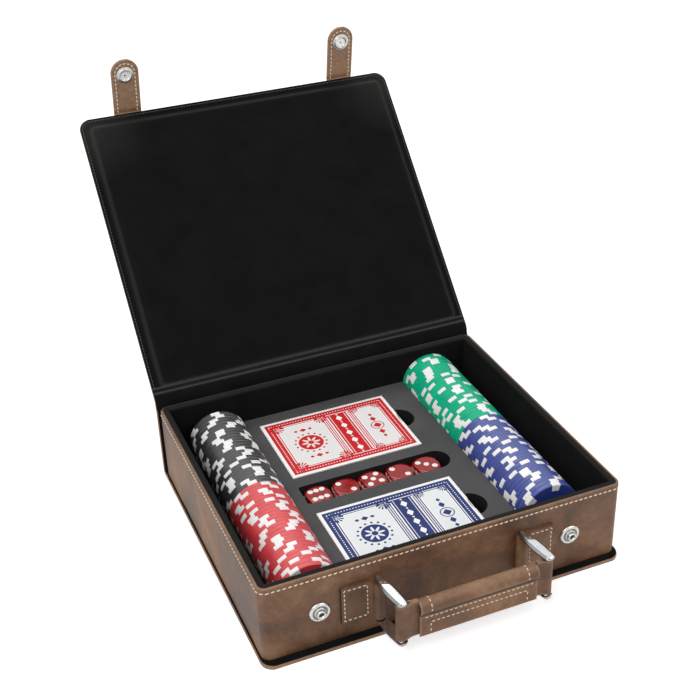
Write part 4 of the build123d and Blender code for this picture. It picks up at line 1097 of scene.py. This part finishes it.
def deckPrint(x, y, length, width):
    # the print as signed millimetres: a dashed frame, a cross band, and two pale panels
    outer = grown((0, length, 0, width), -deck["margin"])
    depth = inRectangle(x, y, *outer)
    beside = np.minimum(x - outer[0], outer[1] - x) < np.minimum(y - outer[2], outer[3] - y)
    run = np.where(beside, y, x) % deck["pitch"] - deck["pitch"] / 2
    row = np.minimum(depth - deck["rowIn"], deck["rowIn"] + deck["rowWide"] - depth)
    dashes = np.minimum(row, deck["dash"] / 2 - np.abs(run))
    line = grown(outer, -deck["frame"] - deck["gap"])
    inLine = inRectangle(x, y, *line)
    x0, x1, y0, y1 = grown(line, -deck["line"] - deck["gap"])
    middle = (y0 + y1) / 2
    shapes = [
        np.minimum(np.minimum(depth, deck["frame"] - depth), -dashes), np.minimum(inLine, deck["line"] - inLine),
    ]

    bandLow, bandHigh = (length * share for share in deck["band"])
    centre, step = (bandLow + bandHigh) / 2, (y1 - y0) / 5
    turn = (y - y0) % step
    marks = np.maximum(lozenge(x, turn, centre, 0, 0.9, 0.9), lozenge(x, turn, centre, step, 0.9, 0.9))
    marks = np.maximum(marks, lozenge(x, turn, centre, step / 2, 2.3, 3.4))
    lines = 0.25 - np.abs(np.abs(x - centre) - (bandHigh - bandLow) / 2 + 1.5)
    shapes.append(np.minimum(inRectangle(x, y, bandLow, bandHigh, y0 - 1, y1 + 1), -np.maximum(marks, lines)))
    for k in (1, 2, 3):
        for edge in (bandLow - deck["lineStep"] * k, bandHigh + deck["lineStep"] * k):
            shapes.append(np.minimum(deck["line"] / 2 - np.abs(x - edge), np.minimum(y - y0, y1 - y)))

    left, right = (x0, length * deck["left"]), (length * deck["right"], x1)
    leftX, rightX = sum(left) / 2, sum(right) / 2
    shapes.append(rosette(x, y, leftX, middle, 8.6))
    for way in (-1, 1):
        for shift, size in ((0, 2.6), (-5.2, 1.7), (5.2, 1.7)):
            shapes.append(lozenge(x, y, leftX + shift, middle + way * 16.0, size, 0.8 * size))
        shapes.append(lozenge(x, y, rightX, middle + way * 8.2, 2.2, 3.0))
        shapes.append(lozenge(x, y, rightX, middle + way * 13.6, 1.4, 1.9))
    shapes.append(0.35 - np.abs(np.hypot(x - rightX, y - middle) - 4.4))
    shapes.append(lozenge(x, y, rightX, middle, 3.2, 3.2))
    for panel, size in ((left, 5.0), (right, 3.4)):
        shapes += [fan(x, y, cx, cy, size) for cx in panel for cy in (y0, y1)]
    return np.maximum.reduce(shapes), np.maximum(*[inRectangle(x, y, *panel, y0, y1) for panel in (left, right)])


for colour in ("red", "blue"):
    # the printed face is a grid along the box, and its right edge gives way to the thumb cut
    low, high = boxOf(colour + "_box")
    (length, width), (cutX, cutY, radius) = (high - low)[:2], deck["cut"]
    v = np.linspace(deck["rim"], width - deck["rim"], int(width / deck["step"]))
    chord = np.sqrt(np.maximum(radius ** 2 - (v - width / 2 - cutY) ** 2, 0))
    last = np.minimum(length - deck["rim"], np.where(chord > 0, length + cutX - chord, length))
    x = deck["rim"] + (last[:, None] - deck["rim"]) * np.linspace(0, 1, int(length / deck["step"]))[None, :]
    y = v[:, None] + 0 * x
    ink, tint = deckPrint(x, y, length, width)
    grid = np.stack([low[0] + x, low[1] + y, high[2] + deck["lift"] + 0 * x], -1), gridFaces(*x.shape)
    body, slotName = colour + "_deck", colour + "_card"
    place(bevelledCopy(colour + "CardBox", colour + "_box", [cardStock], 0.3), body, slotName, [colour + "_box"])
    front = addPiece(colour + "BoxPrint", [boxPrint[colour]], grid, body, slotName, ink=ink, tint=tint)
    solid = front.modifiers.new("card", "SOLIDIFY")
    solid.thickness = 0.05 * mm
    solid.offset = -1.0
print("decks and dice made")

# CAD nodes that stay: boards, floor, padding, tails and cards
walls = ["wall_board_" + side for side in ("front", "rear", "left", "right")]
kept = {
    greyBoard: ["base_board", "spine_board", "lid_board", *walls], blackFoam: ["tray_floor"],
    paddingFoam: ["grip_core"], brownLeather: ["strap_tails"], paper: ["red_cards", "blue_cards"],
}
for material, nodes in kept.items():
    for node in nodes:
        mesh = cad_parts[node]
        for holder in mesh.material_slots:
            holder.material = material
        if not mesh.material_slots:
            mesh.data.materials.append(material)

# floor, light and camera
studio = {
    "floor": 1.6, "floorTone": "#f4f4f4", "world": 0.42, "glow": 0.5, "target": (0, 0, 0.05),
    "lamps": [  # place, size, watts
        ((-0.9, -0.55, 1.25), 1.1, 11.5), ((0.75, -0.9, 1.0), 0.9, 5.0), ((0.1, 0.9, 1.5), 0.9, 6.0),
    ],
    "lens": 64.38, "eye": (-0.2619, -0.6092, 0.5193), "turn": (59.34253666, 1.66685969, -22.87603079),
}


def directView(tree):
    # 1 where the camera, a mirror or a clear piece looks, 0 for the light that falls on things
    seen = addNode(tree, "LightPath").outputs
    view = seen["Is Transmission Ray"]
    for ray in ("Is Glossy Ray", "Is Camera Ray"):
        view = addNode(tree, "Math", {"operation": "MAXIMUM"}, {0: seen[ray], 1: view})
    return view


floorMesh = bpy.data.meshes.new("floor")
size = studio["floor"]
floorMesh.from_pydata([(-size, -size, 0), (size, -size, 0), (size, size, 0), (-size, size, 0)], [], [(0, 1, 2, 3)])
floor = addObject("floor", floorMesh)
floorMaterial, tree = startMaterial("white_studio_floor")[:2]
glow = addNode(tree, "Math", {"operation": "MULTIPLY", 1: studio["glow"]}, {0: directView(tree)})
floorLook = {"Base Color": hexColour(studio["floorTone"]), "Roughness": 0.9, "Specular IOR Level": 0.0}
addShader(tree, {**floorLook, "Emission Color": (1, 1, 1, 1)}, {"Emission Strength": glow})
floorMesh.materials.append(floorMaterial)

world = bpy.data.worlds.new("studio")
world.use_nodes = True
tree = world.node_tree
tree.nodes.clear()
level = addNode(tree, "MapRange", {"To Min": studio["world"], "To Max": 1.0}, {"Value": directView(tree)})
sky = addNode(tree, "Background", {"Color": (1, 1, 1, 1)}, {"Strength": level})
addNode(tree, "OutputWorld", links={"Surface": sky})
scene.world = world

for number, (at, size, watts) in enumerate(studio["lamps"], 1):
    lampData = bpy.data.lights.new("softbox%d" % number, "AREA")
    lampData.size = size
    lampData.energy = watts
    lamp = addObject("softbox%d" % number, lampData)
    lamp.location = at
    lamp.rotation_euler = (Vector(studio["target"]) - Vector(at)).to_track_quat("-Z", "Y").to_euler()

cameraData = bpy.data.cameras.new("camera")
cameraData.lens = studio["lens"]
cameraData.sensor_width = 36.0
camera = addObject("camera", cameraData)
camera.location = studio["eye"]
camera.rotation_euler = Euler(np.radians(studio["turn"]), "XYZ")
scene.camera = camera
print("studio made")
